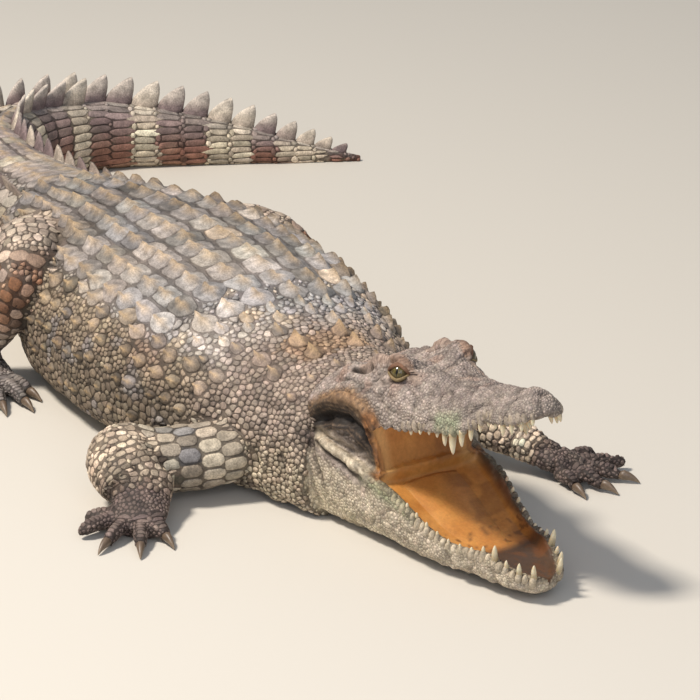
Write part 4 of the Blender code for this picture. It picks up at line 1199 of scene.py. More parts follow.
def body_colour(point, along, angle, broad, patch, speck):
    """A grey back, tan flanks with painted shade low down, a pale belly, a brown neck with painted shade in
    the valleys of its folds, and a banded tail.
    """
    back = blend("#7a7370", "#b3aaa1", 0.55 * speck + 0.45 * patch)
    back = blend(back, "#808184", 0.6 * ease(0.45, 0.8, broad))
    back = blend(back, "#c0a98a", 0.5 * ease(0.66, 0.8, flecks(point, 0.04, 27)))
    back = blend(back, "#5c5753", 0.6 * ease(0.3, 0.55, value_noise(point, 0.035, 30)))
    back = np.minimum(back * (1.46 - 0.7 * ease(0.3, 0.9, along))[:, None], shade("#cdc5bc"))
    flank = blend("#5a4b40", "#a3927c", 0.15 + 0.6 * speck + 0.3 * patch)
    # painted shade: the flank darkened lower down, where the body turns under
    flank = flank * (1 - 0.38 * ease(58, 92, angle))[:, None]
    flank = blend(flank, "#857f7d", 0.7 * ease(0.66, 0.8, flecks(point, 0.03, 24)))
    flank = blend(flank, "#8d7263", 0.5 * ease(0.55, 0.85, broad) * ease(85, 60, angle))
    belly = blend("#b39e79", "#cdbb94", speck)
    body = blend(back, flank, ease(44, 58, angle))
    body = blend(body, belly, ease(105, 140, angle))
    neck = blend("#716258", "#aa998b", 0.2 + 0.6 * speck + 0.2 * patch)
    neck = blend(neck, blend("#9c8a75", "#d6c8ad", speck), 0.85 * ease(66, 96, angle))
    neck = blend(neck, "#a97f50", 0.4 * ease(0.045, 0.025, np.abs(along - 0.13)) * ease(24, 16, angle))
    body = blend(neck, body, ease(0.14, 0.27, along))
    # painted shade: a darker copy of the colour in the valleys between the neck's slack folds
    valley = ease(0.22, 0.0, slack_folds(point)) * ease(0.42, 0.2, along)
    body = blend(body, body * 0.55, 0.8 * valley * ease(40, 70, angle))

    band = np.sin(along * 2 * math.pi / 0.148 + 0.9) + 0.5 * (patch - 0.5)
    tail = blend("#7d6a66", "#cdbfa9", ease(-0.25, 0.3, band))
    tail = blend(tail, "#8d5f4b", 0.8 * ease(70, 110, angle) * ease(0.2, -0.3, band))
    tail = blend(tail, "#a89f98", 0.6 * ease(60, 25, angle))
    tail = tail * (0.77 + 0.3 * speck[:, None])
    tail = blend(tail, "#c2b18d", 0.6 * ease(130, 165, angle))
    return blend(body, tail, ease(0.98, 1.2, along))


def limb_colours(point, along, patch, speck):
    """The arms, with slate plates, creased forearms with painted shade in the creases, and the left forearm
    lightened with painted light, and the legs, orange-brown with painted shade below the knee.
    """
    arm = blend("#4b3c33", "#d3c6b0", 0.1 + 0.95 * speck)
    arm = blend(arm, "#7c7d82", 0.8 * ease(0.66, 0.72, flecks(point, 0.04, 25)))
    # painted light: the left forearm (y above 0.1) lightened as if it lay in sunlight
    lower_arm = blend("#9d8775", "#e0ceb6", 0.15 + 0.8 * speck) * (1 + 0.35 * (point[:, 1] > 0.1))[:, None]
    # painted shade in the forearm's creases, which the skin also carves with the same spacing
    crease = ease(0.3, 0.9, np.sin(along * FORE_CREASES))
    lower_arm = blend(lower_arm, "#43352d", 0.55 * crease)
    arm = blend(arm, lower_arm, ease(2.5, 3.3, along))
    arm = blend(arm, "#66544d", 0.8 * ease(5.0, 6.0, along))
    leg = blend("#85746a", "#cbbba8", 0.1 + 0.9 * speck)
    leg = blend(leg, "#805238", 0.35 * ease(0.62, 0.78, flecks(point, 0.06, 26)))
    # below the knee: partly the leg's own orange-brown, partly painted shade
    rust_and_shade = blend("#4a2a14", "#94551f", speck)
    leg = blend(leg, rust_and_shade, 0.85 * ease(2.7, 3.2, along) * ease(4.4, 3.6, along) * ease(0.35, 0.6, patch))
    leg = blend(leg, "#6f6a68", 0.6 * ease(4.0, 5.6, along))
    return arm, leg


def head_colour(point, on_side, patch, speck, dots):
    """Brown to grey, with a ridged brow striped partly in its own lines and partly in painted highlight and
    shade, painted shade in the crevices, wrinkles, slits, pits, the hollow and the lower lid's groove, and a
    pale muscle behind the mouth.
    """
    x, side, z = on_side.T
    top = blend("#6c6059", "#b9aaa0", 0.05 + 0.75 * speck + 0.25 * patch)
    warm = ease(0.5, 0.8, flecks(point, 0.02, 28))
    top = blend(top, "#a98775", 0.5 * warm * ease(0.03, 0.07, z))
    # painted shade: a darker copy of the colour along the head's crevice lines, the same noise lines the skin
    # carves in
    top = blend(top, top * 0.5, 0.75 * ease(0.14, 0.0, np.abs(value_noise(point, 0.03, 3))))
    # the brow's stripes: partly its own rust lines, partly painted highlight and shade of fine wrinkles
    lines = 0.5 + 0.5 * np.sin(near_path(on_side, BROW)[1] * 150 + 5 * patch)
    brow = 0.9 * beside(on_side, BROW, 0.015) * (0.55 + 0.45 * speck)
    top = blend(top, blend("#5b4437", "#a58e7e", lines), brow)
    top = blend(top, "#a3978b", 0.5 * ease(0.045, 0.012, z) * ease(0.1, 0.2, x))
    top = top * (1 - 0.12 * ease(0.18, 0.28, x))[:, None]
    wrinkle = ease(0.0, 0.8, np.sin(near_path(on_side, HOLLOW)[0] * 2 * math.pi / 0.0058 + 2.5 * patch))
    top = blend(top, blend("#513721", "#9d7c5a", dots * 1.2 - 0.1), 0.94 * beside(on_side, CRESCENT, 0.026))
    # painted shade: the hollow at the side of the head and its wrinkles painted near black
    top = blend(top, blend("#1d1510", "#6d5946", wrinkle * dots), 0.95 * beside(on_side, HOLLOW, 0.04))
    top = blend(top, "#1a120d", 0.96 * beside(on_side, HOLLOW, 0.013))
    top = blend(top, blend("#8f7e69", "#d6c9b1", dots), 0.94 * beside(on_side, MUSCLE, 0.021))
    # painted shade: a darker copy of the colour in the wrinkles over the muscle
    top = blend(top, top * 0.5, 0.6 * wrinkle * beside(on_side, MUSCLE, 0.024))
    # painted shade: the slits, creases and nostrils painted near black
    for line, width in DARK_LINES:
        top = blend(top, "#20160f", 0.95 * beside(on_side, line, width))
    # painted shade: the pit on each side of the snout painted near black
    pit = np.hypot(x - PORE[0], z - PORE[1])
    top = blend(top, "#20160f", 0.95 * ease(0.0045, 0.0025, pit) * (side > 0.02))
    lids = np.linalg.norm(on_side - EYE_CENTRE, axis=1)
    # painted shade: the groove under the lower lid, which the skin also carves, painted dark
    lower_lid = ease(0.0235, 0.0195, lids) * ease(0.074, 0.068, z)
    top = blend(top, "#2e2015", 0.85 * lower_lid)
    upper_lid = ease(0.0245, 0.0195, lids) * ease(0.074, 0.08, z)
    top = blend(top, blend("#553a29", "#9b7962", dots), 0.6 * upper_lid)
    weed = ease(0.03, 0.008, z) * ease(0.035, 0.015, np.abs(x - 0.29)) * (0.3 + 0.7 * patch)
    return blend(top, "#7d9a68", 0.6 * weed)


def jaw_colour(point, top, patch, speck, dots):
    """Pale, yellower below and green with weed along the lip. It takes the head's colour at the corner."""
    jaw_place = within(LOWER_FRAME, point)
    jaw = blend("#a99b87", "#cfc2ad", 0.15 + 0.75 * speck)
    jaw = blend(jaw, "#cfc2a4", 0.5 * ease(-0.05, -0.09, jaw_place[:, 2]))
    weed = ease(-0.03, -0.01, jaw_place[:, 2]) * ease(0.27, 0.22, jaw_place[:, 0]) * (0.35 + 0.65 * patch)
    jaw = blend(jaw, blend("#3f5230", "#7b9060", dots), 0.85 * weed)
    shaded = ease(0.01, 0.04, jaw_place[:, 1]) * ease(-0.05, -0.025, jaw_place[:, 2])
    jaw = blend(jaw, "#3f3b37", 0.85 * shaded)
    jaw = blend(jaw, blend("#4d4637", "#a3957c", dots), 0.7 * ease(0.016, 0.004, jaw_rim_gap(jaw_place)))
    near_corner = ease(0.15, 0.11, jaw_place[:, 0]) * ease(-0.035, -0.02, jaw_place[:, 2])
    return blend(jaw, top, near_corner)


def marking(point, part, along, around):
    """The hide's colour at places on it: grey back, tan flanks, banded tail, dark hands, pale jaws, with
    painted shade in folds, creases and slits.
    """
    broad = flecks(point, 0.09, 21)
    patch = flecks(point, 0.028, 22)
    speck = flecks(point, 0.009, 23)
    dots = flecks(point, 0.004, 29)
    on_side = to_left(within(UPPER_FRAME, point))
    arm, leg = limb_colours(point, along, patch, speck)
    hand = blend("#4c403d", "#83726a", 0.75 * speck + 0.2 * patch)
    foot = blend("#625a57", "#98908a", 0.7 * speck + 0.2 * patch)
    top = head_colour(point, on_side, patch, speck, dots)
    jaw = jaw_colour(point, top, patch, speck, dots)
    colour = body_colour(point, along, np.abs(around), broad, patch, speck)
    owned = ((ARMS, arm), (LEGS, leg), (HANDS, hand), (FEET, foot), (UPPER, top), (LOWER, jaw))
    for parts, own in owned:
        colour = np.where(np.isin(part, parts)[:, None], own, colour)
    z = on_side[:, 2]
    streak = 0.5 + 0.5 * np.sin(near_path(on_side, HOLLOW)[0] * 2 * math.pi / 0.007 + 3 * speck)
    corner = blend(blend("#5d3b22", "#a87447", dots), shade("#a66c38"), 0.6 * ease(-0.02, -0.055, z))
    corner = blend(corner, "#3a2415", 0.6 * streak)
    # painted shade: the crease behind the jaw, which the skin also carves, painted dark
    crease = beside(on_side, JAW_CREASE, 0.009) * ((part == BODY) | (part >= UPPER))
    colour = blend(colour, "#3a2c24", 0.6 * crease)
    return blend(colour, corner, 0.92 * beside(on_side, CRESCENT[5:], 0.022) * (part >= UPPER))


def mouth_colour(point):
    """The mouth's lining: orange, paler and yellower at the lips, with darker folds, painted light on the
    palate and painted shade in patches over its left half.
    """
    head, jaw = within(UPPER_FRAME, point), within(LOWER_FRAME, point)
    wave = flecks(point * [1, 1, 0.4], 0.03, 31)
    fine = flecks(point, 0.008, 32)
    colour = blend("#a0652c", "#c8904c", 0.7 * wave + 0.3 * fine)
    lip = ease(0.05, 0.08, np.abs(head[:, 1])) * ease(-0.06, -0.02, head[:, 2])
    colour = blend(colour, "#dcb277", 0.8 * lip)
    away = near_path(to_left(head), CRESCENT[5:])[0]
    colour = blend(colour, blend("#b98649", "#dcb67a", wave), 0.75 * ease(0.04, 0.02, away))
    web = blend("#6b4323", "#b07a46", 0.5 + 0.5 * np.sin(away * 2 * math.pi / 0.0055 + 3 * wave))
    colour = blend(colour, web, 0.9 * ease(0.02, 0.011, away))
    # painted light: the upper part of the lining, the palate, lightened against the shade it lies in
    colour = colour * (1 + 0.2 * ease(-0.06, -0.01, head[:, 2]))[:, None]
    shelf = ease(0.325, 0.352, jaw[:, 0] + 0.01 * wave) * ease(0.02, 0.0, jaw[:, 2])
    colour = blend(colour, "#342a24", 0.93 * shelf)
    share = np.abs(jaw[:, 1]) / smooth(LOWER_JAW, jaw[:, 0])[:, 0]
    rim = ease(0.78, 0.86, share) * (jaw[:, 2] < 0.03) * ease(0.13, 0.16, jaw[:, 0])
    colour = blend(colour, blend("#35332f", "#6b675f", fine**2), 0.9 * rim)
    # painted shade: dark patches over the left half of the mouth, the side away from the key light
    colour = blend(colour, "#6e3f1d", 0.5 * ease(0.0, 0.03, jaw[:, 1]) * ease(0.45, 0.6, wave))
    dashes = ease(0.25, 0.5, value_noise(point * [0.6, 1, 1], 0.005, 33))
    return blend(colour, "#5b3a20", 0.7 * dashes * ease(0.24, 0.29, jaw[:, 0]) * (jaw[:, 2] < 0.02))


# ---------------------------------------------------------------- scales as solid mesh


def unwrap(part, along, around, point):
    """Each place on the skin, laid out flat: the body, each limb, each hand and foot, and the two jaws."""
    u = 0.01 + 0.98 * along / TAIL_TIP
    v = 0.43 + 0.56 * (around + 180) / 360
    for number, limb in enumerate(LIMBS):
        wrist = np.array(LIMBS[limb][-1][0])
        own = part == number + 1
        u = np.where(own, 0.01 + 0.12 * number + 0.11 * along / 6, u)
        v = np.where(own, 0.01 + 0.18 * (around % 360) / 360, v)
        own = part == number + 5
        u = np.where(own, 0.5 + 0.12 * number + 0.11 * (point[:, 0] - wrist[0] + 0.15) / 0.4, u)
        sole = 0.1 * (point[:, 2] < 0.012)
        v = np.where(own, 0.01 + 0.09 * (point[:, 1] - wrist[1] + 0.2) / 0.4 + sole, v)
    u = np.where(part == UPPER, 0.01 + 0.4 * (along + 0.01) / 0.47, u)
    v = np.where(part == UPPER, 0.21 + 0.2 * (around + 1) / 2, v)
    side = np.sign(within(LOWER_FRAME, point)[:, 1])
    u = np.where(part == LOWER, 0.5 + 0.4 * along / 0.47, u)
    v = np.where(part == LOWER, 0.31 + 0.1 * side * around, v)
    return np.stack([u, v], -1)


def settle(tree, points):
    """(nearest place on the skin, the skin's direction outwards there, distance) for each point."""
    place, outward, away = np.empty_like(points), np.empty_like(points), np.empty(len(points))
    for number, point in enumerate(points):
        place[number], outward[number], _, away[number] = tree.find_nearest(point)
    return place, outward, away


def cell_edges(rows, sides):
    """How far each scale reaches in each direction before it meets its neighbours, in its own half sizes."""
    point, lie, across = rows["point"], rows["lie"], rows["across"]
    half = np.sqrt(rows["length"] * rows["width"])
    tree = tree_of(point)
    found = np.array([[index for _, index, _ in tree.find_n(place, NEIGHBOURS + 1)] for place in point])
    found = found[:, 1:]  # the first is the scale itself
    away = point[found] - point[:, None]
    u = np.einsum("nki,ni->nk", away, lie) / rows["length"][:, None]
    v = np.einsum("nki,ni->nk", away, across) / rows["width"][:, None]
    far = np.sqrt(u**2 + v**2) + 1e-9
    share = half[:, None] / (half[:, None] + half[found])
    share = 0.5 + (share - 0.5) * 1.2
    angles = np.arange(sides) * 2 * math.pi / sides
    toward = (u[..., None] * np.cos(angles) + v[..., None] * np.sin(angles)) / far[..., None]
    reach = (share * far)[..., None] / np.maximum(toward, 0.05)
    firm = rows["square"][:, None, None]
    limit = np.select([rows["part"] >= UPPER, rows["keel"] > KEEL_SHOWS, rows["square"] == PLATE],
                      [1.5, 1.36, 1.42], 1.8)
    limit = limit[:, None]
    total = (reach**-firm).sum(1) + limit ** -firm[:, 0]
    return total ** (-1 / firm[:, 0])


# Sides of a scale's outline, and the rings of its solid: share of the way out, share of the height.
TINY = (6, ((1.0, -0.8), (0.91, 0.8)))
SMALL = (8, ((1.0, -0.8), (0.975, 0.45), (0.72, 0.92)))
LARGE = (14, ((1.0, -0.7), (0.975, 0.3), (0.88, 0.75), (0.55, 1.0)))
KEELED = (16, ((1.0, -0.7), (0.975, 0.3), (0.87, 0.8), (0.55, 1.0)))
TINY_HALF, SMALL_HALF = 0.0045, 0.0074  # half widths under which a scale is tiny, or small
KEEL_SHOWS = 0.002
NEIGHBOURS = 12  # scales near another that may crowd its outline


def scale_solids(rows, tree, detail, rng):
    """(points, corners, face sizes, tops, ridges, patches) of a group of domed solids, some with keels."""
    sides, profile = detail
    count = len(rows["point"])
    angles = np.arange(sides) * 2 * math.pi / sides
    seam = 0.0001 / np.sqrt(rows["length"] * rows["width"]) + (0.035 if sides > 10 else 0.02)
    edge = rows["edge"][sides] - seam[:, None]
    edge = np.maximum(edge, 0.2) * rng.uniform(0.965, 1.01, edge.shape)
    keeled = detail is KEELED
    flat, tops, lifts, ridges = [], [], [], []
    for far, top in [*profile, (0.0, 1.0)]:
        x, y = far * edge * np.cos(angles), far * edge * np.sin(angles)
        if far == 0.0:
            x, y = x[:, :1], y[:, :1]
        slope = 0.35 * ease(-1.0, -0.7, x) + 0.65 * ease(-0.6, 0.2, x)
        slope = slope * (1 - ease(0.8, 1.05, x)) * (1 - ease(0.93, 1.0, far))
        ridge = np.exp(-((np.abs(y) / 0.13) ** 1.5)) * slope
        roof = np.maximum(1 - 1.1 * np.abs(y), 0) * (1 - ease(0.85, 1.0, far))
        rough = rng.uniform(-1, 1, x.shape) * (0.3 if keeled else 0.13) if top > 0.5 else 0.0
        flat.append(np.stack([x, y], -1))
        tops.append(np.full(x.shape, max(top, 0.0)))
        ridges.append(ridge * (rows["keel"] > 0.0015)[:, None])
        tilt = 0.55 * np.clip(x, -1, 1) * (top > 0) if keeled else 0.0
        keel = rows["keel"][:, None] * (0.8 * ridge + 0.2 * roof)
        lifts.append(rows["height"][:, None] * (top + rough + tilt) + keel)
    flat, tops, lifts, ridges = (np.concatenate(part, 1) for part in (flat, tops, lifts, ridges))
    spread = (
        rows["point"][:, None]
        + (flat[..., :1] * rows["length"][:, None, None]) * rows["lie"][:, None]
        + (flat[..., 1:] * rows["width"][:, None, None]) * rows["across"][:, None]
    )
    place, outward, _ = settle(tree, spread.reshape(-1, 3))
    outward = unit(outward.reshape(count, -1, 3) + 0.8 * rows["outward"][:, None])
    points = place.reshape(count, -1, 3) + outward * lifts[..., None]
    points[..., 2] = np.maximum(points[..., 2], FLOOR_CLEARANCE)
    own = points.shape[1]
    ring = np.arange(sides)
    nxt = (ring + 1) % sides
    faces = [ring[::-1].tolist()]
    for level in range(len(profile) - 1):
        a, b = level * sides, (level + 1) * sides
        faces += np.stack([a + ring, a + nxt, b + nxt, b + ring], -1).tolist()
    last = (len(profile) - 1) * sides
    faces += [[last + j, last + k, own - 1] for j, k in zip(ring, nxt)]
    sizes = np.array([len(face) for face in faces])
    loops = np.concatenate(faces)[None] + (np.arange(count) * own)[:, None]
    patch = unwrap(rows["part"], rows["along"], rows["around"], rows["point"])[:, None] + PATCH_SIZE * flat
    solids = points.reshape(-1, 3), loops.ravel(), np.tile(sizes, count)
    return *solids, tops.ravel(), ridges.ravel(), patch.reshape(-1, 2)


def fast_mesh(name, points, loops, sizes):
    """A mesh object from flat lists of face corners and face sizes."""
    mesh = bpy.data.meshes.new(name)
    mesh.vertices.add(len(points))
    mesh.vertices.foreach_set("co", np.ascontiguousarray(points, np.float32).ravel())
    mesh.loops.add(len(loops))
    mesh.loops.foreach_set("vertex_index", loops.astype(np.int32))
    mesh.polygons.add(len(sizes))
    mesh.polygons.foreach_set("loop_start", np.concatenate([[0], np.cumsum(sizes)[:-1]]).astype(np.int32))
    mesh.update(calc_edges=True)
    mesh.validate()
    mesh.shade_smooth()
    obj = bpy.data.objects.new(name, mesh)
    bpy.context.scene.collection.objects.link(obj)
    return obj


def store(mesh, **values):
    """Gives each point numbers or vectors under their own names."""
    for name, value in values.items():
        value = np.asarray(value, np.float32)
        kind, key = ("FLOAT_VECTOR", "vector") if value.ndim == 2 else ("FLOAT", "value")
        shape = (len(mesh.vertices), 3) if value.ndim == 2 else len(mesh.vertices)
        layer = mesh.attributes.new(name, kind, "POINT")
        layer.data.foreach_set(key, np.broadcast_to(value, shape).ravel())


def paint(mesh, colour, **values):
    """Stores a colour for each point as "marking", and other numbers under their own names."""
    layer = mesh.attributes.new("marking", "FLOAT_COLOR", "POINT")
    full = np.ones((len(mesh.vertices), 4), np.float32)
    full[:, :3] = colour
    layer.data.foreach_set("color", full.ravel())
    store(mesh, **values)


def bake_map(mesh, patches):
    """The coat's unwrap: each scale is a small patch where it grows on the skin laid flat."""
    layer = mesh.uv_layers.new(name="OFBake")
    corners = np.empty(len(mesh.loops), np.int32)
    mesh.loops.foreach_get("vertex_index", corners)
    layer.data.foreach_set("uv", patches[corners].astype(np.float32).ravel())


def grow_coat(coat, tree):
    """All the scales, as one joined mesh for each group."""
    rows = coat.all()
    group = np.array(coat.groups)
    place, outward, away = settle(tree, rows["point"])
    kept = away < 0.007
    rows = {name: value[kept] for name, value in rows.items()}
    group, rows["outward"], rows["point"] = group[kept], outward[kept], place[kept]
    lie = rows["lie"] - (rows["lie"] * rows["outward"]).sum(-1, keepdims=True) * rows["outward"]
    rows["lie"] = unit(lie + 1e-6)
    rows["across"] = np.cross(rows["outward"], rows["lie"])
    edge = {sides: cell_edges(rows, sides) for sides, _ in (TINY, SMALL, LARGE, KEELED)}
    rng = np.random.default_rng(5)
    colour = marking(rows["rest"], rows["part"], rows["along"], rows["around"])
    kinds = [rows["part"] == LOWER, rows["part"] >= UPPER, rows["keel"] > KEEL_SHOWS]
    uneven = np.select(kinds, [0.06, 0.09, 0.22], 0.18)[:, None]
    tint = (1 + uneven * rng.normal(0, 1, (len(colour), 1))) * rng.normal(1.0, 0.012, (len(colour), 3))
    colour = np.clip(colour * tint, 0.004, 0.9)
    keel_tint = blend(colour, "#b79a72", 0.65)
    made = []
    tiny, small = (rows["width"] < half for half in (TINY_HALF, SMALL_HALF))
    flat = rows["keel"] < KEEL_SHOWS
    kinds = (("", TINY, tiny), ("_mid", SMALL, small & ~tiny), ("_large", LARGE, ~small & flat),
             ("_keeled", KEELED, ~small & ~flat))
    for name in sorted(set(coat.groups)):
        for ending, detail, wanted in kinds:
            own = (group == name) & wanted
            if not own.any():
                continue
            picked = {key: value[own] for key, value in rows.items()}
            picked["edge"] = {detail[0]: edge[detail[0]][own]}
            points, loops, sizes, tops, ridges, patches = scale_solids(picked, tree, detail, rng)
            per = len(points) // own.sum()
            obj = fast_mesh(name + ending, points, loops, sizes)
            base = np.repeat(colour[own], per, 0)
            if detail is KEELED:
                base = base * (0.9 + 0.34 * value_noise(points, 0.007, 51))[:, None]
            ridge = np.clip(ridges, 0, 1)[:, None]
            # the crown at a scale's foot for some groups: a higher value gives less painted seam shade there
            rim = {"head_scales": 0.45, "jaw_scales": 0.75, "hand_scales": 0.3}.get(name, 0.0)
            base = base * (1 - ridge) + np.repeat(keel_tint[own], per, 0) * ridge
            paint(obj.data, base, crown=rim + (1 - rim) * tops)
            bake_map(obj.data, patches)
            made.append(obj)
    return made, rows["point"], colour


# ---------------------------------------------------------------- crest, teeth, claws, tongue, eyes, lids


def solid_from_rings(rings, tip=None):
    """(points, faces) of one closed solid through rings that advance as a right-handed screw does."""
    rings = np.asarray(rings)
    rows, sides = rings.shape[:2]
    grid = np.arange(rows * sides).reshape(rows, sides)
    near, far = grid[:-1], grid[1:]
    faces = np.stack([near, np.roll(near, -1, 1), np.roll(far, -1, 1), far], -1).reshape(-1, 4).tolist()
    faces.append(grid[0, ::-1].tolist())
    points = rings.reshape(-1, 3)
    if tip is None:
        faces.append(grid[-1].tolist())
    else:
        points = np.vstack([points, tip])
        faces += [[grid[-1, j], grid[-1, (j + 1) % sides], len(points) - 1] for j in range(sides)]
    return points, faces


def join_solids(name, solids):
    """One mesh object of many (points, faces) solids, and which solid each of its points is in."""
    points, loops, sizes, owner, count = [], [], [], [], 0
    for number, (own_points, own_faces) in enumerate(solids):
        points.append(own_points)
        loops += [np.asarray(face) + count for face in own_faces]
        sizes += [len(face) for face in own_faces]
        owner += [number] * len(own_points)
        count += len(own_points)
    return fast_mesh(name, np.vstack(points), np.concatenate(loops), np.array(sizes)), np.array(owner)


def planting_tree():
    """Geometry nodes that stand a piece on each root: turned, stretched and bent by the root's own values."""
    tree = bpy.data.node_groups.new("planted_pieces", "GeometryNodeTree")
    for label, kind in (("Roots", "Geometry"), ("Piece", "Object"), ("Size", "Float"),
                        ("Finish", "Material")):
        tree.interface.new_socket(label, in_out="INPUT", socket_type="NodeSocket" + kind)
    tree.interface.new_socket("Pieces", in_out="OUTPUT", socket_type="NodeSocketGeometry")
    given = tree.nodes.new("NodeGroupInput").outputs
    up, ahead, size, lean, bow = (
        add_node(tree, "GeometryNodeInputNamedAttribute", {"Name": name}, data_type="FLOAT_VECTOR")
        for name in ("up", "ahead", "size", "lean", "bow")
    )
    share = add_node(tree, "GeometryNodeInputNamedAttribute", {"Name": "share"}, data_type="FLOAT")
    turn = add_node(tree, "FunctionNodeAxesToRotation", {0: up, 1: ahead}, primary_axis="Z",
                    secondary_axis="X")
    stretch = add_node(tree, "ShaderNodeVectorMath", {0: size, "Scale": given["Size"]}, operation="SCALE")
    piece = add_node(tree, "GeometryNodeObjectInfo", {"Object": given["Piece"]}, "Geometry")
    stood = add_node(tree, "GeometryNodeInstanceOnPoints",
                     {"Points": given["Roots"], "Instance": piece, "Rotation": turn, "Scale": stretch})
    whole = add_node(tree, "GeometryNodeRealizeInstances", {"Geometry": stood})
    curve = add_node(tree, "ShaderNodeVectorMath", {0: bow, 1: share, 2: lean}, operation="MULTIPLY_ADD")
    offset = add_node(tree, "ShaderNodeVectorMath", {0: curve, 1: share}, operation="MULTIPLY")
    bent = add_node(tree, "GeometryNodeSetPosition", {"Geometry": whole, "Offset": offset})
    done = add_node(tree, "GeometryNodeSetMaterial", {"Geometry": bent, "Material": given["Finish"]})
    tree.links.new(done, tree.nodes.new("NodeGroupOutput").inputs["Pieces"])
    return tree


PLANTING = planting_tree()


def plant(name, piece, finish, roots):
    """(one mesh object of a piece stood on every root, and which root each of its points grows from).

    A root holds its point, ahead and up directions and size, and may hold a lean and a bow towards the tip.
    """
    points, faces = piece
    pattern = new_object(name + "_pattern", points, faces)
    store(pattern.data, share=np.maximum(np.array(points)[:, 2], 0))
    values = {key: np.array([root[key] for root in roots], float) for key in roots[0]}
    obj = new_object(name, values.pop("point"), [])
    store(obj.data, number=np.arange(len(roots)), **values)
    inputs = (("Piece", pattern), ("Size", 1.0), ("Finish", finish))
    with_modifier(obj, "NODES", inputs, node_group=PLANTING)
    bpy.data.objects.remove(pattern)
    owner = np.empty(len(obj.data.vertices), np.float32)
    obj.data.attributes["number"].data.foreach_get("value", owner)
    for key in ("number", "share", *values):
        obj.data.attributes.remove(obj.data.attributes[key])
    return obj, owner.astype(int)


def level_ring(z, long, broad, sides):
    """An oval of points round the height axis."""
    angles = np.arange(sides) * 2 * math.pi / sides
    return np.stack([long * np.cos(angles), broad * np.sin(angles), np.full(sides, z)], 1)


def crest_leaf():
    """A leaf one unit long, thick and tall that leans back over the next, thin from side to side."""
    rings = []
    for share in (-0.18, 0.0, 0.2, 0.42, 0.64, 0.82, 0.94):
        risen = max(share, 0)
        ring = level_ring(share, 1 - 0.12 * risen - 0.62 * risen**3, 1 - 0.72 * risen**0.8, 12)
        ring[:, 2] -= 0.1 * risen * np.cos(np.arange(12) * math.pi / 6)
        rings.append(ring - [0.72 * risen**1.3, 0, 0])
    return solid_from_rings(rings, [-1.02, 0, 1])


def crest_roots():
    """The roots of the crest's blades: two rows that meet halfway down the tail."""
    roots, station = [], CREST_START
    while station < CREST_END:
        height, pitch, spread = (smooth(t, station)[0, 0] for t in (CREST_HEIGHT, CREST_PITCH, CREST_SPREAD))
        heading = float(spine_at(station)[2])
        ahead = np.array([math.cos(heading), math.sin(heading), 0])
        left = np.array([-math.sin(heading), math.cos(heading), 0])
        for side in (0,) if station >= CREST_MEETS else (1, -1):
            lean = math.radians(side * spread * CREST_LEAN)
            roots.append({
                "point": body_points(station, side * spread, -0.003), "ahead": ahead,
                "up": math.cos(lean) * np.array([0, 0, 1]) + math.sin(lean) * left,
                "size": (CREST_OVERLAP * pitch, 0.14 * height + 0.0032, height),
                "station": station, "side": side,
            })
        station += pitch
    return roots


def make_crest(finish):
    roots = crest_roots()
    obj, owner = plant("crest_blades", crest_leaf(), finish, roots)
    station, side = (np.array([root[key] for root in roots])[owner] for key in ("station", "side"))
    points = places(obj.data)
    floor = body_points(station, 0.0)[:, 2]
    rise = np.clip((points[:, 2] - floor) / 0.04, 0, 1)
    colour = marking(points, np.zeros(len(points)), station, np.full(len(points), 62.0))
    colour = blend(colour, "#d3c9bd", 0.7 * ease(0.05, 0.7, rise))
    colour = blend(colour, "#85767a", 0.35 * ease(0.5, 0.1, rise))
    paint(obj.data, colour, crown=ease(-0.1, 0.25, rise) * 0.6 + 0.4)
    spread = np.stack([np.cos(np.arange(len(points)) % 12), rise], -1)
    bake_map(obj.data, unwrap(np.zeros(len(points)), station, side * 20.0, points) + PATCH_SIZE * spread)
    return obj


def tooth_line(table, tip, inset):
    x = np.linspace(tip - 0.004, COMMISSURE + 0.03, 200)
    values = smooth(table, x)
    half = np.maximum(values[:, 0] - inset, 0.0)
    line = np.stack([x, half, values[:, 2 if table is UPPER_JAW else 1]], axis=1)
    run = np.concatenate([[0], np.cumsum(np.linalg.norm(np.diff(line, axis=0), axis=1))])
    return line, run


def tooth_rows():
    """(frame, side, root, length, down) of every tooth."""
    found = []
    for frame, table, tip, lengths, down in (
        (UPPER_FRAME, UPPER_JAW, UPPER_TIP, UPPER_TEETH, -1),
        (LOWER_FRAME, LOWER_JAW, LOWER_TIP, LOWER_TEETH, 1),
    ):
        line, run = tooth_line(table, tip, 0.0075)
        for number, (distance, length) in enumerate(zip(np.linspace(0.012, run[-1], len(lengths)), lengths)):
            length = length * (1.04 if number < 5 or (down < 0 and number < 11) else 0.7 if down < 0 else 0.5)
            root = np.array([np.interp(distance, run, line[:, k]) for k in range(3)])
            for side in (1, -1) if root[0] > 0.205 else ():
                found.append((frame, side, root * [1, side, 1], length / 1000, down))
    return found


def tooth_cone():
    """A round cone one unit wide at its root and one unit long, with a blunt point."""
    rings = []
    for share in (-0.35, 0.0, 0.25, 0.5, 0.72, 0.88, 0.97):
        risen = max(share, 0)
        radius = (1 - 0.2 * risen - 0.62 * risen**2.4) * (0.55 if share == 0.97 else 1)
        rings.append(level_ring(share, radius, radius, 10))
    return solid_from_rings(rings, [0, 0, 1])


